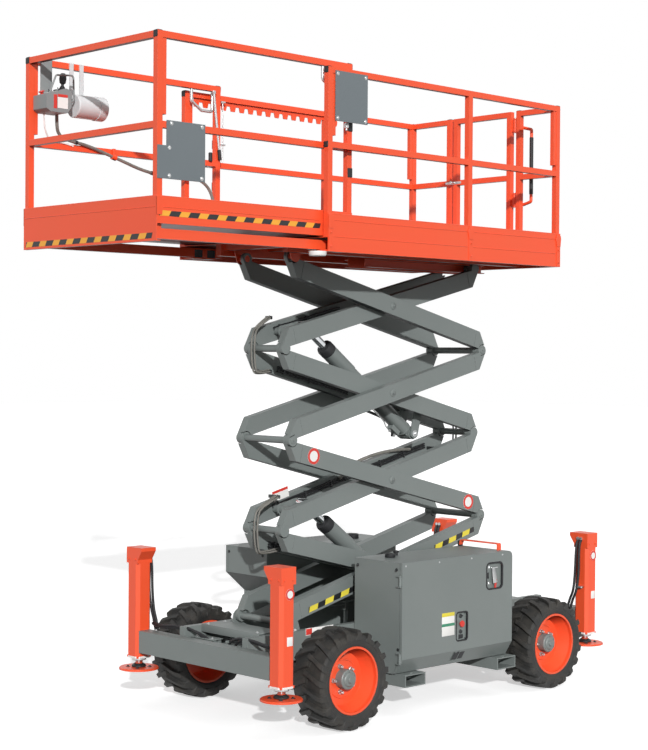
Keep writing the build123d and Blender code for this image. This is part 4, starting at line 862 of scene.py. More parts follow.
# latch paddle, hinged at the top and standing a little open
place = stand((at(0.425), -0.7925, 0.880), (0.30, -1, 0.12))
paddle = [(-0.052, -0.034), (0.052, -0.026), (0.052, 0.030), (-0.052, 0.036)]
plate_in(bm, place, paddle, 0.0, 0.004)
pin(bm, (at(0.39), -0.790, 0.935), (at(0.462), -0.790, 0.935), 0.005)
for z in (0.942, 0.83):
    hex_bolt(bm, (at(0.372), RECESS, z), (0, -1, 0), 0.012, 0.005)
piece("door_latch", bm, zinc, "door_left")
bm = bmesh.new()
tag = stand((at(0.437), -0.7945, 0.822), (0.15, -1, 0), (0.15, 0, 1))
plate_in(bm, tag, rectangle(-0.030, -0.014, 0.030, 0.014), 0.0, 0.0008)
piece("latch_tag", bm, red_vinyl, "door_left")
bm = bmesh.new()
# control face with a key switch, a raise and lower switch and an emergency stop
SWITCH_X = at(0.072)
switch = [(0.015, 0), (0.015, 0.004), (0.011, 0.007), (0.011, 0.010), (0, 0.010)]
for z in (0.628, 0.520):
    turned(bm, switch, stand((SWITCH_X, RECESS, z), (0, -1, 0)), 24)
block(bm, (SWITCH_X - 0.002, -0.7990, 0.515), (SWITCH_X + 0.002, -0.7955, 0.525), 0.0006)
pin(bm, (SWITCH_X, -0.7955, 0.628), (SWITCH_X, -0.8095, 0.634), 0.0035)
for x in (0.030, 0.118):
    for z in (0.470, 0.645):
        screw = stand((at(x), RECESS, z), (0, -1, 0))
        turned(bm, [(0.004, 0), (0.004, 0.002), (0, 0.0026)], screw, 12)
piece("ground_switches", bm, dark_steel, "door_left")
bm = bmesh.new()
button = [(0.011, 0), (0.011, 0.010), (0.021, 0.013), (0.023, 0.017), (0.021, 0.022), (0, 0.024)]
turned(bm, button, stand((SWITCH_X, RECESS, 0.575), (0, -1, 0)))
piece("ground_stop_button", bm, red_vinyl, "door_left")
# blank plate beside the controls, a yellow field above and a green band across
yellow_vinyl = vinyl("yellow", "E9D84A", "D6C440", 0.42, grime=0.5)
green_vinyl = vinyl("green", "3D8B6B", "347A5D", 0.42)
for title, low, high, proud, material in (
    ("white", 0.507, 0.640, 0.0008, white_vinyl),
    ("yellow", 0.640, 0.666, 0.0008, yellow_vinyl),
    ("green", 0.572, 0.592, 0.0012, green_vinyl),
):
    bm = bmesh.new()
    block(bm, (at(-0.135), -SKIN - proud, low), (at(-0.006), -SKIN, high), 0.0002)
    piece(f"ground_plate_{title}", bm, material, "door_left")
# two dark vent slots, side by side on the leaning strip
bm = bmesh.new()
for x in (0.036, 0.092):
    strip = stand((at(x), -0.7738, 0.352), (0, -0.855, -0.518), (0, -0.518, 0.855))
    plate_in(bm, strip, rectangle(-0.031, -0.025, 0.031, 0.025), -0.001, 0.001)
piece("vent_louvres", bm, black_rubber, "door_left")
# rivets along the door's top edge, and bolts on the ends of the cabinets
unit = bmesh.new()
rivet = [(0.0065, 0), (0.006, 0.0018), (0.003, 0.0032), (0, 0.0036)]
turned(unit, rivet, stand((0, 0, 0), (0, -1, 0)), 14)
rivet = unit_mesh(unit)
for side, name in SIDES:
    bm = bmesh.new()
    place = moved(at(-0.46 if side > 0 else -0.50), side * SKIN, 1.022)
    place = place @ Matrix.Scale(-side, 4, (0, 1, 0))
    in_row(bm, "door_rivets", rivet, 4, (0.335, 0, 0), grey_powder, place)
    piece(f"door_rivets_{name}", bm, zinc, f"door_{name}")
    bm = bmesh.new()
    front, low_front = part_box(f"cabinet_{name}")[0][0], at(-0.535)
    for y, z in ((0.40, 1.00), (0.765, 1.00), (0.40, 0.42), (0.765, 0.46)):
        hex_bolt(bm, (front if z == 1.00 else low_front, side * y, z), (-1, 0, 0))
        hex_bolt(bm, (at(0.615), side * y, z - 0.05), (1, 0, 0))
    piece(f"cabinet_bolts_{name}", bm, dark_steel, "chassis")
# columns: X from the middle, Y, profile, sides: filler cap, breather and air cleaner cap
lid_caps = (
    (-0.36, -0.52, ((0.034, 0), (0.036, 0.004), (0.036, 0.022), (0.030, 0.028), (0, 0.030)), 28),
    (-0.24, -0.46, ((0.014, 0), (0.014, 0.018), (0.020, 0.020), (0.020, 0.032), (0, 0.036)), 20),
    (0.30, 0.50, ((0.040, 0), (0.042, 0.004), (0.042, 0.030), (0.034, 0.038), (0, 0.040)), 28),
)
bm = bmesh.new()
for x, y, profile, sides in lid_caps:
    turned(bm, profile, stand((at(x), y, LID)), sides)
piece("filler_caps", bm, black_rubber, "chassis")
bm = bmesh.new()
tail = ((-0.55, LID), (-0.55, 1.075), (-0.55, 1.095), (-0.61, 1.10), (-0.66, 1.10))
hose(bm, [(x, 0.60, z) for x, z in tail], 0.022, 16)
piece("exhaust_tail", bm, dark_steel, "chassis")
# black rubber sleeve on the outer leg of the grab bar
bm = bmesh.new()
low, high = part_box("cabinet_grab_bar")
top = (high[0] + 0.002, high[1] + 0.003, high[2] - 0.010)
block(bm, (low[0] - 0.002, high[1] - 0.013, LID), top, 0.003)
piece("grab_bar_sleeve", bm, black_rubber, "chassis")

# ---------------------------------------------------------------- scissor arms
# Eight pairs of rectangular steel tubes with mitred ends, laser-cut lugs welded in and turned
# pins, in grey powder coat. The pins are held by keeper bolts. Hazard tape and blank signs are
# stuck to the lowest arms.
REST, PIN_TO_PIN, TUBE_OFF, TUBE_DEEP = radians(17.7), 2.030, 0.068, 0.124
TILT = atan2(2 * TUBE_OFF, (PIN_TO_PIN**2 - (2 * TUBE_OFF) ** 2) ** 0.5)
TUBE_LONG = PIN_TO_PIN * cos(TILT)
RISE, RUN = PIN_TO_PIN * sin(REST), PIN_TO_PIN * cos(REST)
LEFT_PIN, BASE = -1.046, 0.626
OUTER, INNER, HALF_WIDE = 0.236, 0.162, 0.031  # of the tubes, from the middle of the machine
OUTER_FACE, LUG_END, RIPPLE = OUTER + HALF_WIDE, 0.098, 0.0132


def arm_place(level, rising):
    """Place of an arm at its left pin: X along the tube, Y upwards across it, Z to the left."""
    angle = (REST - TILT) * (1 if rising else -1)
    start = BASE + RISE * (level if rising else level + 1)
    c, s = cos(angle), sin(angle)
    return place_of((c, 0, s), (-s, 0, c), (0, -1, 0), (at(LEFT_PIN), 0, start))


# three ripples of a weld bead, side by side
unit = bmesh.new()
bead = [(0, -0.0030), (0.0022, -0.0018), (0.0030, 0), (0.0022, 0.0018), (0, 0.0030)]
for k in range(3):
    turned(unit, bead, moved(0, 0.0044 * k, 0) @ Matrix.Rotation(pi / 2, 4, "X"), 8)
ripple = unit_mesh(unit)
KEEPER = ((0.027, 0), (0.027, 0.003), (0.024, 0.005), (0, 0.005))
PIN_CAP = ((0.022, 0), (0.022, 0.002), (0.018, 0.004), (0.005, 0.004), (0.004, 0.009), (0, 0.010))
# columns: body, level, rising, distance of its tubes from the middle
arms = [
    (f"arm_{level + 1}_{kind}", level, (kind == "outer") == (level % 2 == 0), arm_y)
    for level in range(4)
    for kind, arm_y in (("outer", OUTER), ("inner", INNER))
]
for body, level, rising, arm_y in arms:
    dress(grey_powder, f"scissor_{body}")
    place = arm_place(level, rising)
    sign = 1 if rising else -1
    low = min(sign * (TUBE_OFF - TUBE_DEEP / 2), sign * (TUBE_OFF + TUBE_DEEP / 2))
    count = int((TUBE_DEEP - 0.012) / RIPPLE)
    face = arm_y + HALF_WIDE
    # weld beads round the tube where the lug plates end
    bm = bmesh.new()
    for u in (LUG_END, TUBE_LONG - LUG_END):
        for z in (face, -face):
            start = place @ moved(u, low + 0.007, z)
            in_row(bm, "weld_ripples", ripple, count, (0, RIPPLE, 0), grey_powder, start)
    piece(f"{body}_welds", bm, grey_powder, body)
    if arm_y == INNER:
        continue
    # keeper bolt and plate on the centre pin; pressed caps on the end pins of the outer arms
    bm = bmesh.new()
    for z in (1, -1):
        middle = place @ Vector((TUBE_LONG / 2, sign * TUBE_OFF, z * face))
        axis = place.to_3x3() @ Vector((0, 0, z))
        turned(bm, KEEPER, stand(middle, axis))
        hex_bolt(bm, middle + axis * 0.005, axis, 0.014, 0.007)
        if rising:
            for u, v in ((0, 0), (TUBE_LONG, 2 * TUBE_OFF)):
                turned(bm, PIN_CAP, stand(place @ Vector((u, v, z * face)), axis), 24)
    piece(f"{body}_keepers", bm, grey_powder, body)
    # black strips over the slot between the outboard lug and the mitred end of the tube, as painted
    # shade of the gap
    if rising:
        bm = bmesh.new()
        for z in (1, -1):
            for u, v in ((0.0, 0.031), (TUBE_LONG, 2 * TUBE_OFF - 0.031)):
                slit = place @ moved(u, v, z * face) @ Matrix.Rotation(0.10, 4, "Z")
                plate_in(bm, slit, rectangle(-0.024, -0.0028, 0.024, 0.0028), -0.0004, 0.0005)
        piece(f"{body}_slots", bm, black_rubber, body)


def hazard_tape(name, body, place, count, pitch, height, slant, share, colour):
    """Black tape with slanted fields of a colour; place: X along it, Y across it, Z off the face.

    Each field takes up share of the pitch, and slant is how far it leans over the tape's height.
    """
    bm = bmesh.new()
    half, long, wide = height / 2, count * pitch, pitch * share
    tape = [(0, -half), (long - slant * 0.5, -half), (long, half), (slant * 0.5, half)]
    plate_in(bm, place, tape, -0.0002, 0.0006)
    piece(f"{name}_black", bm, black_vinyl, body)
    field = bmesh.new()
    outline = [(0.004, -half), (wide, -half), (wide + slant, half), (slant + 0.004, half)]
    plate_in(field, Matrix(), outline, 0.0004, 0.0011)
    bm = bmesh.new()
    in_row(bm, "tape_fields", unit_mesh(field), count, (pitch, 0, 0), yellow_vinyl, place)
    piece(f"{name}_yellow", bm, colour, body)


black_vinyl = vinyl("black", "191A1C", "26272A", 0.42)
ARM_PITCH = 0.154
lowest, upper = arm_place(0, True), arm_place(1, True)
for side, label in SIDES:
    for part, start, count, v in (("low", 0.165, 4, 0.041), ("high", 1.470, 3, 0.057)):
        place = lowest @ moved(start, v, OUTER_FACE)
        if side > 0:  # starts at the other end, and reads from the other side
            turn = Matrix.Rotation(pi, 4, "Y")
            place = lowest @ moved(start + count * ARM_PITCH, v, -OUTER_FACE) @ turn
        name = f"arm_tape_{part}_{label}"
        hazard_tape(name, "arm_1_outer", place, count, ARM_PITCH, 0.037, 0.018, 0.55, yellow_vinyl)
for side, label in SIDES:
    white, red = bmesh.new(), bmesh.new()
    for x, z in ((-0.853, 1.748), (0.742, 1.350)):
        round_sign(white, red, (at(x), side * OUTER_FACE, z), (0, side, 0), 0.056)
    piece(f"arm_signs_{label}", white, white_vinyl, "arm_2_outer")
    piece(f"arm_sign_rings_{label}", red, red_vinyl, "arm_2_outer")
# blank plate, white below and red above, on the right side's inner tube
place = upper @ moved(0.300, 0.120, HALF_WIDE - INNER)
for label, low, high, material in (
    ("white", -0.005, 0.050, white_vinyl),
    ("red", 0.050, 0.068, red_vinyl),
):
    bm = bmesh.new()
    plate_in(bm, place, rectangle(-0.075, low, 0.075, high), 0.0, 0.0020)
    piece(f"arm_plate_{label}", bm, material, "arm_2_inner")

# ---------------------------------------------------------------- hoses up the stack
# Hydraulic hoses and a cable harness, clamped to the inner arms and looped free round each end
# pin so that the stack can fold. The bundles at the left pins are in pale braided sleeve.
# braided polyester sleeve, off-white, its weave drawn 4 mm coarse so that it shows
pale_braid, tree, shader = new_material("pale_braided_sleeve")
place = add(tree, "ShaderNodeTexCoord").outputs["Object"]
weave = add(tree, "ShaderNodeTexVoronoi", {"Vector": place, "Scale": 260.0}).outputs["Distance"]
inputs = {"Vector": place, "Scale": 14.0, "Detail": 4.0}
stain = add(tree, "ShaderNodeTexNoise", inputs).outputs["Fac"]
colour = mixed(tree, stain, linear("94928B"), linear("5C5A55"))
inputs = {"Height": weave, "Strength": 0.5, "Distance": 0.002}
bump = add(tree, "ShaderNodeBump", inputs).outputs[0]
feed(tree, shader, {"Base Color": colour, "Normal": bump, "Roughness": 0.7})


def loop_line(pin_x, pin_z, y, out, below, above):
    """Line of a free loop round an end pin: below and above are its ends, out is its swing."""
    swing = 1 if out > 0 else -1
    return [
        (below[0], y, below[1]),
        (pin_x + swing * 0.02, y, below[1] - 0.020),
        (pin_x + out * 0.75, y, pin_z - 0.130),
        (pin_x + out, y, pin_z - 0.030),
        (pin_x + out * 0.90, y, pin_z + 0.085),
        (pin_x + out * 0.30, y, pin_z + 0.150),
        (above[0], y, above[1]),
    ]


# columns: name, lower arm, upper arm, X of the pin from the middle, the pin's level, Y of the
# first strand, swing, X of the ends, Z of the lower and the upper end, finish
RIGHT_PIN = LEFT_PIN + RUN
loops = (
    ("first", 1, 2, LEFT_PIN, 1, 0.030, -0.052, -0.90, 1.085, 1.455, pale_braid),
    ("second", 2, 3, RIGHT_PIN, 2, 0.030, 0.050, 0.72, 1.735, 2.010, black_rubber),
    ("third", 3, 4, LEFT_PIN, 3, 0.078, -0.046, -0.94, 2.320, 2.690, pale_braid),
)
# columns: Y from the first strand, radius, how much further it swings
STRANDS = (
    (0.0, 0.0065, 0.0),
    (0.0125, 0.005, 0.012),
    (0.025, 0.0065, -0.006),
    (0.0375, 0.005, 0.008),
)
for name, under, over, pin_x, level, first_y, out, end_x, low, high, material in loops:
    pin_z = BASE + RISE * level
    bm = bmesh.new()
    for across, radius, more in STRANDS:
        ends = (end_x, low + more), (end_x, high + more)
        hose(bm, loop_line(pin_x, pin_z, first_y + across, out + more, *ends), radius)
    loop = finish(f"hose_loop_{name}", bm, material)
    under, over = f"arm_{under}_inner", f"arm_{over}_inner"
    start, end = (at(pin_x), 0, pin_z - 0.10), (at(pin_x), 0, pin_z + 0.10)
    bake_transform(loop)
    # clamps that hold the bundle at each end of the loop
    for arm, z in ((under, low), (over, high)):
        bm = bmesh.new()
        corner = (at(end_x) - 0.008, first_y - 0.008, z - 0.012)
        block(bm, corner, (at(end_x) + 0.008, INNER - HALF_WIDE, z + 0.012), 0.003)
        piece(f"{name}_loop_clamp_{arm}", bm, dark_steel, arm)
# runs on the inner faces of the tubes
# columns: body, level, rising, from, to, height on the tube
runs = (
    ("arm_1_inner", 0, False, 0.16, 0.95, -0.085),
    ("arm_2_inner", 1, True, 0.20, 1.80, 0.085),
    ("arm_3_inner", 2, False, 0.24, 0.95, -0.085),
    ("arm_4_inner", 3, True, 0.20, 0.86, 0.085),
)
RUN_Z, CLAMP_PITCH = -0.123, 0.26
for body, level, rising, start, end, height in runs:
    place = arm_place(level, rising)
    bm = bmesh.new()
    for radius, lift in ((0.006, -0.015), (0.005, 0.0), (0.0065, 0.015)):
        points = []
        for k in range(9):
            sag = 0.003 if k % 2 else -0.002
            points.append(Vector((start + (end - start) * k / 8, height + lift + sag, RUN_Z)))
        bent_tube(bm, [place @ point for point in points], radius)
    piece(f"hose_run_{body}", bm, black_rubber, body)
    unit = bmesh.new()
    block(unit, (-0.006, -0.027, -0.131), (0.006, 0.027, -0.114), 0.003)
    count = int((end - start) / CLAMP_PITCH)
    first = place @ moved(start + 0.06, height, 0)
    bm = bmesh.new()
    in_row(bm, "hose_clamps", unit_mesh(unit), count, (CLAMP_PITCH, 0, 0), zinc, first)
    piece(f"hose_clamps_{body}", bm, dark_steel, body)
# pale sleeve over the second run, from its middle to the right
bm = bmesh.new()
line = ((0.86, 0.10), (1.0, 0.165), (1.2, 0.175), (1.45, 0.150), (1.62, 0.105))
for z, radius in ((-0.110, 0.012), (-0.120, 0.009)):
    bent_tube(bm, [upper @ Vector((u, v, z)) for u, v in line], radius)
piece("second_run_sleeve", bm, pale_braid, "arm_2_inner")

# ---------------------------------------------------------------- lift cylinders
# Two hydraulic rams on the middle line: honed tube in grey powder coat, a black gland nut, a hard
# chromed rod, and a steel pipe along the tube from the lock valve to the rod end.
# the head is a screwed-on sleeve with a black wiper housing at its end; (radius, along the tube)
GLAND = (
    (0.0560, 1.006), (0.0600, 1.010), (0.0600, 1.056), (0.0540, 1.072), (0.0380, 1.080),
    (0.0308, 1.080), (0.0308, 1.046), (0.0560, 1.036),
)
HEAD = (
    (0.0546, 0.760), (0.0590, 0.764), (0.0590, 1.012), (0.0310, 1.016), (0.0310, 0.905),
    (0.0546, 0.897),
)
# the pipe and the hoses from the lock valve, columns: to one side, off the tube, along it
PIPE = (
    (0.012, 0.085, 0.17), (0.012, 0.085, 0.21), (0.012, 0.064, 0.24), (0.012, 0.062, 0.30),
    (0.012, 0.062, 0.55), (0.012, 0.062, 0.76), (0.012, 0.062, 0.815), (0.008, 0.052, 0.83),
)
for name, level, arm in (("lower", 0, "arm_1_inner"), ("upper", 2, "arm_3_inner")):
    barrel = f"barrel_{name}"
    dress(grey_powder, f"lift_cylinder_{name}")
    dress(hard_chrome, f"lift_rod_{name}")
    # its foot and its eye lie along and off the middle lines of the arms it joins
    joint = Vector((at(LEFT_PIN), 0, BASE + RISE * (level + 1)))
    along, off = Vector((cos(REST), 0, -sin(REST))), Vector((-sin(REST), 0, -cos(REST)))
    foot = joint + 1.522 * along + 0.160 * off
    along, off = Vector((cos(REST), 0, sin(REST))), Vector((-sin(REST), 0, cos(REST)))
    eye = joint + 0.380 * along + 0.042 * off
    ram = stand(foot, eye - foot, (0, 1, 0))
    bm = bmesh.new()
    ring(bm, GLAND, ram, 40)
    piece(f"gland_{name}", bm, black_rubber, barrel)
    bm = bmesh.new()
    ring(bm, HEAD, ram, 40)
    for start, end in ((0.052, 0.064), (0.640, 0.652)):
        collar = [(0.0540, start), (0.0575, start + 0.002), (0.0575, end - 0.002), (0.0540, end)]
        ring(bm, collar, ram, 40)
    valve = ram @ moved(0.0, 0.062, 0.135)
    plate_in(bm, valve, rectangle(-0.026, -0.016, 0.026, 0.020), -0.045, 0.045)
    piece(f"cylinder_collars_{name}", bm, grey_powder, barrel)
    bm = bmesh.new()
    bent_tube(bm, [ram @ Vector(point) for point in PIPE], 0.005)
    for w in (0.105, 0.165):
        pin(bm, ram @ Vector((0, 0.08, w)), ram @ Vector((0, 0.100, w)), 0.010, 0.001, 6)
    piece(f"cylinder_pipe_{name}", bm, zinc, barrel)
    # bolts of the foot pin's keepers on the bracket ears
    bm = bmesh.new()
    for side, _ in SIDES:
        ear = stand(foot + Vector((0, side * 0.077, 0)), (0, side, 0))
        turned(bm, [(0.026, 0), (0.026, 0.004), (0.022, 0.006), (0, 0.006)], ear, 24)
        hex_bolt(bm, foot + Vector((0, side * 0.083, 0)), (0, side, 0), 0.016, 0.008)
    piece(f"foot_pin_keepers_{name}", bm, zinc, arm)
    # short hoses from the lock valve back to the arm that carries the foot
    bm = bmesh.new()
    port = ram @ Vector((0, 0.100, 0.105))
    for y, more in ((0.030, 0.0), (0.065, 0.02)):
        line = (
            (0, y * 0.3, 0), (0.03, y * 0.6, 0.05), (more - 0.03, y, 0.11),
            (-0.12, y + 0.01, 0.15 + more), (-0.26, 0.096, 0.205),
        )
        bent_tube(bm, [port + Vector(point) for point in line], 0.008)
    hoses = finish(f"valve_hoses_{name}", bm, black_rubber)
    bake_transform(hoses)

# ---------------------------------------------------------------- platform deck
# A folded steel deck in orange powder coat: raised tread bars on the floor, two folds along each
# skirt, grey steelwork and pale conduits underneath.
dress(orange_powder, "platform_deck")
DECK_FRONT, DECK_REAR, DECK_SIDE = at(-1.200), at(1.200), 0.750
FLOOR, SKIRT_HIGH, STRAP_Y = 3.198, 3.345, 0.755
POSTS = (DECK_FRONT + 0.020, at(0.190), DECK_REAR - 0.026)  # X of the posts and their straps
bm = bmesh.new()
for side, _ in SIDES:
    # rolled folds along the skirt between the straps, and a rounded lip on its upper edge
    y = side * DECK_SIDE
    for low, high in ((at(-1.158), at(0.168)), (at(0.212), at(1.152))):
        for fold, top in ((3.196, 3.201), (3.302, 3.306)):
            block(bm, (low, y - 0.0022, fold), (high, y + 0.0022, top), 0.0018)
    y, z = side * 0.747, SKIRT_HIGH - 0.001
    pin(bm, (DECK_FRONT + 0.001, y, z), (DECK_REAR - 0.001, y, z), 0.0042, 0.001, 12)
# flared sockets at the feet of the posts
SOCKET_FLARE = (
    (-0.020, -0.060), (0.020, -0.060), (0.030, 0.0), (0.020, 0.022), (-0.020, 0.022), (-0.030, 0.0),
)
for side, _ in SIDES:
    for x in POSTS:
        place = stand((x, side * STRAP_Y, SKIRT_HIGH - 0.035), (0, side, 0), (1, 0, 0))
        first, last = DECK_FRONT - x, DECK_REAR - x
        outline = [(max(first, min(last, u)), -side * v) for u, v in SOCKET_FLARE]
        plate_in(bm, place, outline, -0.004, 0.003)
piece("deck_folds", bm, orange_powder, "platform")
# tread: short bars rolled into the floor, laid out crosswise in two directions
TREAD_PITCH, ROW_PITCH = 0.040, 0.042
BAR_OUTLINE = (
    (-0.014, 0), (-0.006, -0.0034), (0.006, -0.0034), (0.014, 0), (0.006, 0.0034), (-0.006, 0.0034),
)
unit = bmesh.new()
plate_in(unit, Matrix(), BAR_OUTLINE, -0.0002, 0.0016)
tread_bar = unit_mesh(unit)


def tread_floor(name, x, y, z, bars, rows, body):
    """Tread over a floor: rows along X of bars that lean one way and the other by turns."""
    row = bmesh.new()
    for turn, more in ((radians(45), 0.0), (radians(-45), TREAD_PITCH / 2)):
        start = moved(x + more, 0, 0) @ Matrix.Rotation(turn, 4, "Z")
        step = Matrix.Rotation(-turn, 3, "Z") @ Vector((TREAD_PITCH, 0, 0))
        in_row(row, "tread_row", tread_bar, bars, step, orange_powder, start)
    bm = bmesh.new()
    in_row(bm, name, unit_mesh(row), rows, (0, ROW_PITCH, 0), orange_powder, moved(0, y, z))
    piece(name, bm, orange_powder, body)


tread_floor("deck_tread", at(-1.165), -0.650, FLOOR, 58, 32, "platform")
# bolts of the straps and of the rear sheet
bm = bmesh.new()
for side, _ in SIDES:
    for x in POSTS:
        for z in (3.135, 3.225):
            hex_bolt(bm, (x, side * STRAP_Y, z), (0, side, 0), 0.012, 0.005)
for y in (-0.60, -0.20, 0.20, 0.60):
    hex_bolt(bm, (DECK_REAR, y, 3.150), (1, 0, 0), 0.012, 0.005)
piece("deck_bolts", bm, orange_powder, "platform")
# junction box, conduits and slide pads under the floor
bm = bmesh.new()
junction = [(0, 0), (0.052, 0), (0.058, 0.010), (0.058, 0.030), (0, 0.030)]
turned(bm, junction, stand((at(-1.245), -0.700, 3.071)))
for y in (-0.48, -0.45, 0.46):
    hose(bm, [(x, y, 3.138) for x in (-1.10, -0.5, 0.2, 0.9, 1.12)], 0.010)
piece("deck_conduits", bm, white_vinyl, "platform")
bm = bmesh.new()
for side, _ in SIDES:
    for x in (-1.140, -1.025):
        corner = (at(x) - 0.035, side * 0.6205, 3.1165)
        block(bm, corner, (at(x) + 0.035, side * 0.6190, 3.1700), 0.0005)
    for x in (-0.95, 0.85):
        block(bm, (at(x), side * 0.30, 3.185), (at(x) + 0.08, side * 0.315, 3.1918), 0.001)
piece("deck_slide_pads", bm, black_rubber, "platform")

# ---------------------------------------------------------------- guard rails and blank plates
# Square steel tube in orange powder coat with moulded black caps in the open ends, a zinc lock
# rod on the right and blank plates hung on the left.
dress(orange_powder, "guard_rail_left", "guard_rail_right", "guard_rail_rear")
# satin grey paint on sheet steel, a little bluer than the powder coat; both plates are blank
panel_grey = coat("panel_grey_paint", "6A7276", "777E81", 0.5)
dress(panel_grey, "deck_panel", "extension_panel")
RAIL_SIDE, TOP, MID = 0.724, 4.290, 3.790
GATE_X = at(1.174)


def tube_cap(bm, centre, axis=UP, half=0.0195, thick=0.004):
    """Black plug in the open end of a 40 mm square tube."""
    place = stand(centre, axis, UP if abs(axis[2]) < 0.5 else (1, 0, 0))
    outline = rounded(-half, -half, half, half, 0.005, 3)
    plate_in(bm, place, outline, -0.0005, thick * 0.6)
    plate_in(bm, place, [(u * 0.86, v * 0.86) for u, v in outline], thick * 0.5, thick)


def rail_welds(name, body, posts, rail_y, top, first, last):
    """Weld fillets where the bars meet the posts, from first to last along the rails."""
    bm = bmesh.new()
    for side, _ in SIDES:
        for x in posts:
            for z in (MID - 0.020, MID + 0.020, top - 0.040):
                for edge in (-0.020, 0.020):
                    if first < x + edge * 1.2 < last:
                        ends = [(x + edge, side * (rail_y + half), z) for half in (-0.019, 0.019)]
                        pin(bm, *ends, 0.0035, 0.001, 8)
    piece(name, bm, orange_powder, body)


bm = bmesh.new()
for side, _ in SIDES:
    y = side * RAIL_SIDE
    for z in (TOP - 0.020, MID):
        tube_cap(bm, (DECK_FRONT, y, z), (-1, 0, 0))
    tube_cap(bm, (GATE_X, y, TOP))
    tube_cap(bm, (DECK_FRONT + 0.020, y, TOP))
for y in (0.324, -0.377):
    tube_cap(bm, (GATE_X, y, TOP))
piece("rail_caps", bm, black_rubber, "platform")
rail_welds("rail_welds", "platform", POSTS, RAIL_SIDE, TOP, DECK_FRONT, DECK_REAR - 0.007)
bm = bmesh.new()
# lock rod that drops into the toothed bar, its guides, and the knobs of the drop pins
for z in (4.236, 3.930):
    block(bm, (at(-0.885), 0.680, z), (at(-0.845), 0.704, z + 0.012), 0.002)
pin(bm, (at(-0.865), 0.690, 4.245), (at(-0.865), 0.690, 3.815), 0.005)
knob = [
    (0.007, 0), (0.007, 0.012), (0.014, 0.016), (0.017, 0.028), (0.014, 0.044), (0.006, 0.050),
    (0, 0.050),
]
for y, z, down in ((0.686, 3.815, -1), (-0.700, 3.900, 1)):
    turned(bm, knob, stand((at(-0.993), y, z), (0, 0, down)), 24)
# gate latch on its post, with its own knob
block(bm, (at(1.150), 0.190, 3.780), (at(1.154), 0.349, 3.800), 0.001)
pin(bm, (at(1.145), 0.250, 3.790), (at(1.145), 0.345, 3.790), 0.007)
knob = [(0.005, 0), (0.005, 0.020), (0.011, 0.024), (0.012, 0.038), (0, 0.042)]
turned(bm, knob, stand((at(1.150), 0.262, 3.790), (-1, 0, 0)), 20)
piece("lock_rod_and_latch", bm, zinc, "platform")
bm = bmesh.new()
# gate hinge sleeves in zinc plate over the pins' ends
for z in (3.575, 4.140):
    for start, end in ((z - 0.014, z - 0.009), (z + 0.099, z + 0.104)):
        hinge = stand((GATE_X, -0.331, 0))
        turned(bm, [(0, start), (0.010, start), (0.010, end), (0, end)], hinge, 20)
piece("gate_pin_heads", bm, zinc, "platform")
# black grip on the grab loop
bm = bmesh.new()
grip = [(0.0122, 3.660), (0.0150, 3.663), (0.0150, 4.087), (0.0122, 4.090)]
ring(bm, grip, stand((at(1.218), -0.455, 0)), 24)
piece("grab_loop_grip", bm, black_rubber, "platform")
bm = bmesh.new()
for x in (-1.120, -0.866):
    for z in (3.965, 4.250):
        hex_bolt(bm, (at(x), -0.749, z), (0, -1, 0), 0.013)
piece("deck_panel_bolts", bm, zinc, "platform")

# ---------------------------------------------------------------- entry gate
# Orange tube frame with a kick plate, swinging inwards on two pins.
# Moulded black caps close the feet of its two uprights.
dress(orange_powder, "entry_gate")
bm = bmesh.new()
for y in (-0.285, 0.254):
    tube_cap(bm, (GATE_X, y, 3.228), (0, 0, -1))
piece("gate_caps", bm, black_rubber, "entry_gate")

# ---------------------------------------------------------------- deck extension
# The floor, skirts and rails that slide out to the front, in orange powder coat.
# Hazard tape runs round its skirt, and the zinc-plated push handles are at its rear posts.
dress(orange_powder, "extension_deck", "extension_rails")
dress(zinc, "push_handles")
# warmer than the tape on the arms
amber_vinyl = vinyl("amber", "F7AE3A", "E09A30")
EXT_FRONT, EXT_REAR, EXT_SIDE, EXT_RAIL, EXT_TOP = at(-2.550), at(-0.925), 0.690, 0.664, 4.342
EXT_POSTS = (EXT_FRONT + 0.026, EXT_REAR - 0.020)
EXT_PITCH, EXT_FIELDS = 0.147, 9
tread_floor("extension_tread", EXT_FRONT + 0.060, -0.610, 3.210, 38, 30, "extension")
bm = bmesh.new()
lip = 0.0038, 0.001, 12  # radius, chamfer, sides
EXT_FLARE = ((-0.026, -0.060), (0.014, -0.060), (0.022, 0.0), (0.014, 0.050), (-0.026, 0.050))
for side, _ in SIDES:
    y = side * EXT_SIDE
    block(bm, (EXT_FRONT + 0.002, y - 0.002, 3.300), (at(-1.22), y + 0.002, 3.304), 0.0018)
    y = side * 0.687
    pin(bm, (EXT_FRONT + 0.002, y, 3.366), (EXT_REAR - 0.002, y, 3.366), *lip)
pin(bm, (EXT_FRONT + 0.003, -0.686, 3.366), (EXT_FRONT + 0.003, 0.686, 3.366), *lip)
block(bm, (EXT_FRONT - 0.002, -0.68, 3.300), (EXT_FRONT + 0.002, 0.68, 3.304), 0.0018)
for side, _ in SIDES:
    place = stand((EXT_FRONT + 0.026, side * EXT_SIDE, 3.315), (0, side, 0), (1, 0, 0))
    plate_in(bm, place, [(u, -side * v) for u, v in EXT_FLARE], -0.003, 0.003)
piece("extension_folds", bm, orange_powder, "extension")
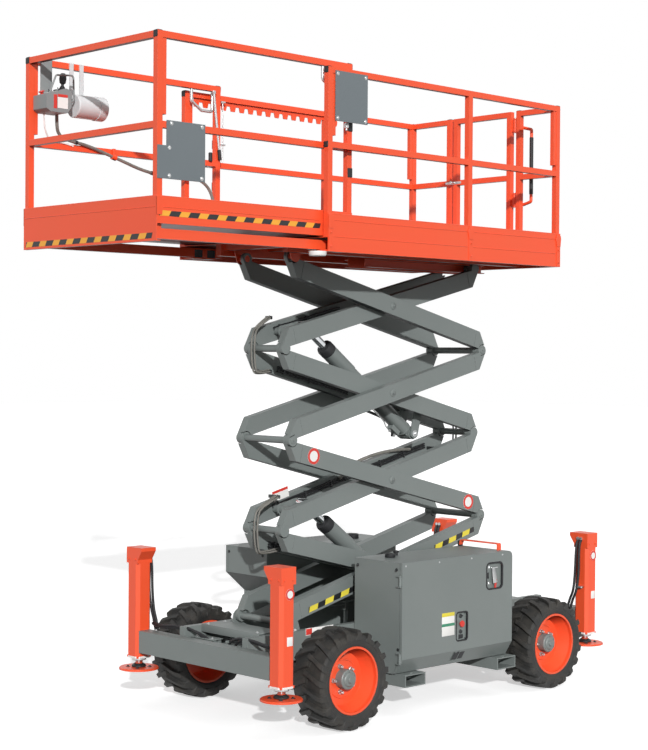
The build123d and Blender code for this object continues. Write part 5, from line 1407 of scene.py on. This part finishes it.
# columns: side, X, Y and Z where the tape starts, direction it faces, direction it runs, height
start = EXT_FRONT + 0.018
for label, origin, axis, along, height in (
    ("left", (start, -EXT_SIDE, 3.2655), (0, -1, 0), (1, 0, 0), 0.032),
    ("right", (start + EXT_FIELDS * EXT_PITCH, EXT_SIDE, 3.2655), (0, 1, 0), (-1, 0, 0), 0.032),
    ("front", (EXT_FRONT, 0.670, 3.133), (-1, 0, 0), (0, -1, 0), 0.034),
):
    name, place = f"extension_tape_{label}", stand(origin, axis, along)
    hazard_tape(name, "extension", place, EXT_FIELDS, EXT_PITCH, height, 0.020, 0.5, amber_vinyl)
# caps, wear pads and bolts of the extension's rails
bm = bmesh.new()
for side, _ in SIDES:
    y = side * EXT_RAIL
    for x in EXT_POSTS:
        tube_cap(bm, (x, y, EXT_TOP))
    tube_cap(bm, (EXT_FRONT + 0.006, y, EXT_TOP - 0.020), (-1, 0, 0))
    for z in (EXT_TOP - 0.020, MID):
        tube_cap(bm, (EXT_REAR, y, z), (1, 0, 0))
    # moulded sleeves that run against the main rails
    low, high = sorted((side * 0.6845, side * 0.6900))
    for z in (4.18, 3.90, 3.60):
        block(bm, (EXT_REAR - 0.041, low, z), (EXT_REAR + 0.001, high, z + 0.060), 0.002)
piece("extension_caps", bm, black_rubber, "extension")
bm = bmesh.new()
for x, z in ((-2.455, 3.655), (-2.455, 3.490), (-2.205, 3.490), (-2.205, 3.800), (-2.440, 3.800)):
    hex_bolt(bm, (at(x), -0.689, z), (0, -1, 0), 0.013)
piece("extension_panel_bolts", bm, zinc, "extension")
front = EXT_FRONT + 0.007
rail_welds("extension_welds", "extension", EXT_POSTS, EXT_RAIL, EXT_TOP, front, EXT_REAR)
# the lock's pull rod hangs from the right handle down to its black knob at the middle rail
bm = bmesh.new()
pin(bm, (at(-1.000), 0.630, 4.290), (at(-0.945), 0.630, 3.870), 0.0085)
block(bm, (at(-1.012), 0.622, 4.280), (at(-0.988), 0.646, 4.304), 0.002)
piece("lock_pull_rod", bm, zinc, "extension")
bm = bmesh.new()
pin(bm, (at(-0.948), 0.630, 3.890), (at(-0.940), 0.630, 3.815), 0.013, 0.003)
pin(bm, (at(-1.020), 0.640, 3.800), (at(-1.020), 0.640, 3.865), 0.014, 0.004)
piece("lock_knobs", bm, black_rubber, "extension")

# ---------------------------------------------------------------- platform controls
# A moulded grey desk under a bent hoop, with a joystick, switches, an emergency stop and blank
# labels; its cable runs back along the middle rail. The canister for papers is pale plastic.
# textured grey ABS, matt
grey_plastic = coat("grey_moulded_plastic", "8C9090", "7A7D7D", 0.55, peel=0.35, edge=0.003)
# pale polyethylene, slightly translucent and scuffed
pale_plastic = coat("pale_polyethylene", "D9DADB", "C2C5C7", 0.42, peel=0.1, edge=0.003)
dress(grey_plastic, "control_box")
dress(pale_plastic, "document_canister")
CONTROL_X, CONTROL_Z, CONTROL_Y = at(-2.515), 3.985, 0.565
desk_at = (CONTROL_X + 0.075, CONTROL_Y, CONTROL_Z + 0.1353)
desk = stand(desk_at, (-0.3162, 0, 0.9487), (0, -1, 0))
bm = bmesh.new()
# boot, shaft and grip of the joystick, at the desk's rear corner
JOYSTICK = (
    (0.026, 0), (0.026, 0.003), (0.021, 0.008), (0.023, 0.013), (0.016, 0.018), (0.017, 0.023),
    (0.010, 0.030), (0.009, 0.040), (0.020, 0.050), (0.024, 0.075), (0.022, 0.100), (0.014, 0.112),
    (0, 0.114),
)
turned(bm, JOYSTICK, stand((at(-2.343), CONTROL_Y, CONTROL_Z + 0.156), (0.06, 0, 1), (0, -1, 0)))
toggle = [(0.009, 0), (0.009, 0.003), (0.006, 0.005), (0.0035, 0.006), (0.003, 0.018), (0, 0.020)]
for u in (-0.045, 0.055):
    turned(bm, toggle, desk @ moved(u, 0.030, 0), 20)
turned(bm, [(0.013, 0), (0.013, 0.006), (0.008, 0.008), (0, 0.008)], desk @ moved(0, 0.045, 0), 24)
piece("joystick_and_switches", bm, black_rubber, "extension")
bm = bmesh.new()
button = [(0.010, 0), (0.010, 0.008), (0.018, 0.011), (0.020, 0.015), (0.018, 0.020), (0, 0.022)]
turned(bm, button, desk @ moved(-0.045, -0.030, 0))
piece("platform_stop_button", bm, red_vinyl, "extension")
LABEL = 0.0008
side_face = stand((CONTROL_X + 0.115, 0.4900, CONTROL_Z + 0.068), (0, -1, 0), (1, 0, 0))
bm = bmesh.new()
plate_in(bm, desk @ moved(0, 0.002, 0), rectangle(-0.065, -0.014, 0.065, 0.014), 0.0, LABEL)
plate_in(bm, side_face, rectangle(-0.030, -0.040, 0.050, 0.030), 0.0, LABEL)
piece("control_labels", bm, white_vinyl, "extension")
bm = bmesh.new()
for corners in ((-0.060, -0.045, -0.034, 0.045), (-0.028, 0.032, 0.048, 0.050)):
    plate_in(bm, side_face, rectangle(*corners), 0.0, LABEL)
piece("control_labels_red", bm, red_vinyl, "extension")
# pale conduit from the desk along and below the middle rail, its ties and an orange clip
conduit = (
    (-2.36, 0.60, 3.985), (-2.36, 0.60, 3.93), (-2.33, 0.63, 3.87), (-2.27, 0.630, 3.835),
    (-2.10, 0.630, 3.815), (-1.95, 0.630, 3.775), (-1.80, 0.630, 3.735), (-1.65, 0.630, 3.690),
    (-1.45, 0.630, 3.660), (-1.20, 0.630, 3.690), (-1.03, 0.630, 3.62), (-0.985, 0.628, 3.45),
    (-0.975, 0.628, 3.30), (-0.975, 0.628, 3.225),
)
wire = (
    (-2.46, 0.60, 3.990), (-2.46, 0.60, 3.93), (-2.43, 0.62, 3.86),
    (-2.38, 0.635, 3.815), (-2.27, 0.640, 3.815), (-2.20, 0.640, 3.80),
)
bm = bmesh.new()
hose(bm, conduit, 0.011)
piece("control_conduit", bm, pale_braid, "extension")
bm = bmesh.new()
hose(bm, wire, 0.005)
piece("control_wire", bm, white_vinyl, "extension")
bm = bmesh.new()
for (x0, y, z0), (x1, _, z1) in (conduit[3:5], conduit[5:7], conduit[7:9]):
    centre = (at((x0 + x1) / 2), y, (z0 + z1) / 2)
    place = stand(centre, (x1 - x0, 0, z1 - z0), (0, 1, 0))
    ring(bm, [(0.0112, -0.010), (0.0140, -0.009), (0.0140, 0.009), (0.0112, 0.010)], place, 16)
piece("conduit_ties", bm, black_rubber, "extension")
bm = bmesh.new()
place = stand((at(-1.875), 0.630, 3.755), (1, 0, -0.27), (0, 1, 0))
ring(bm, [(0.0112, -0.018), (0.0200, -0.016), (0.0200, 0.016), (0.0112, 0.018)], place, 20)
block(bm, (at(-1.885), 0.622, 3.755), (at(-1.865), 0.638, 3.812), 0.002)
piece("conduit_clip", bm, orange_powder, "extension")
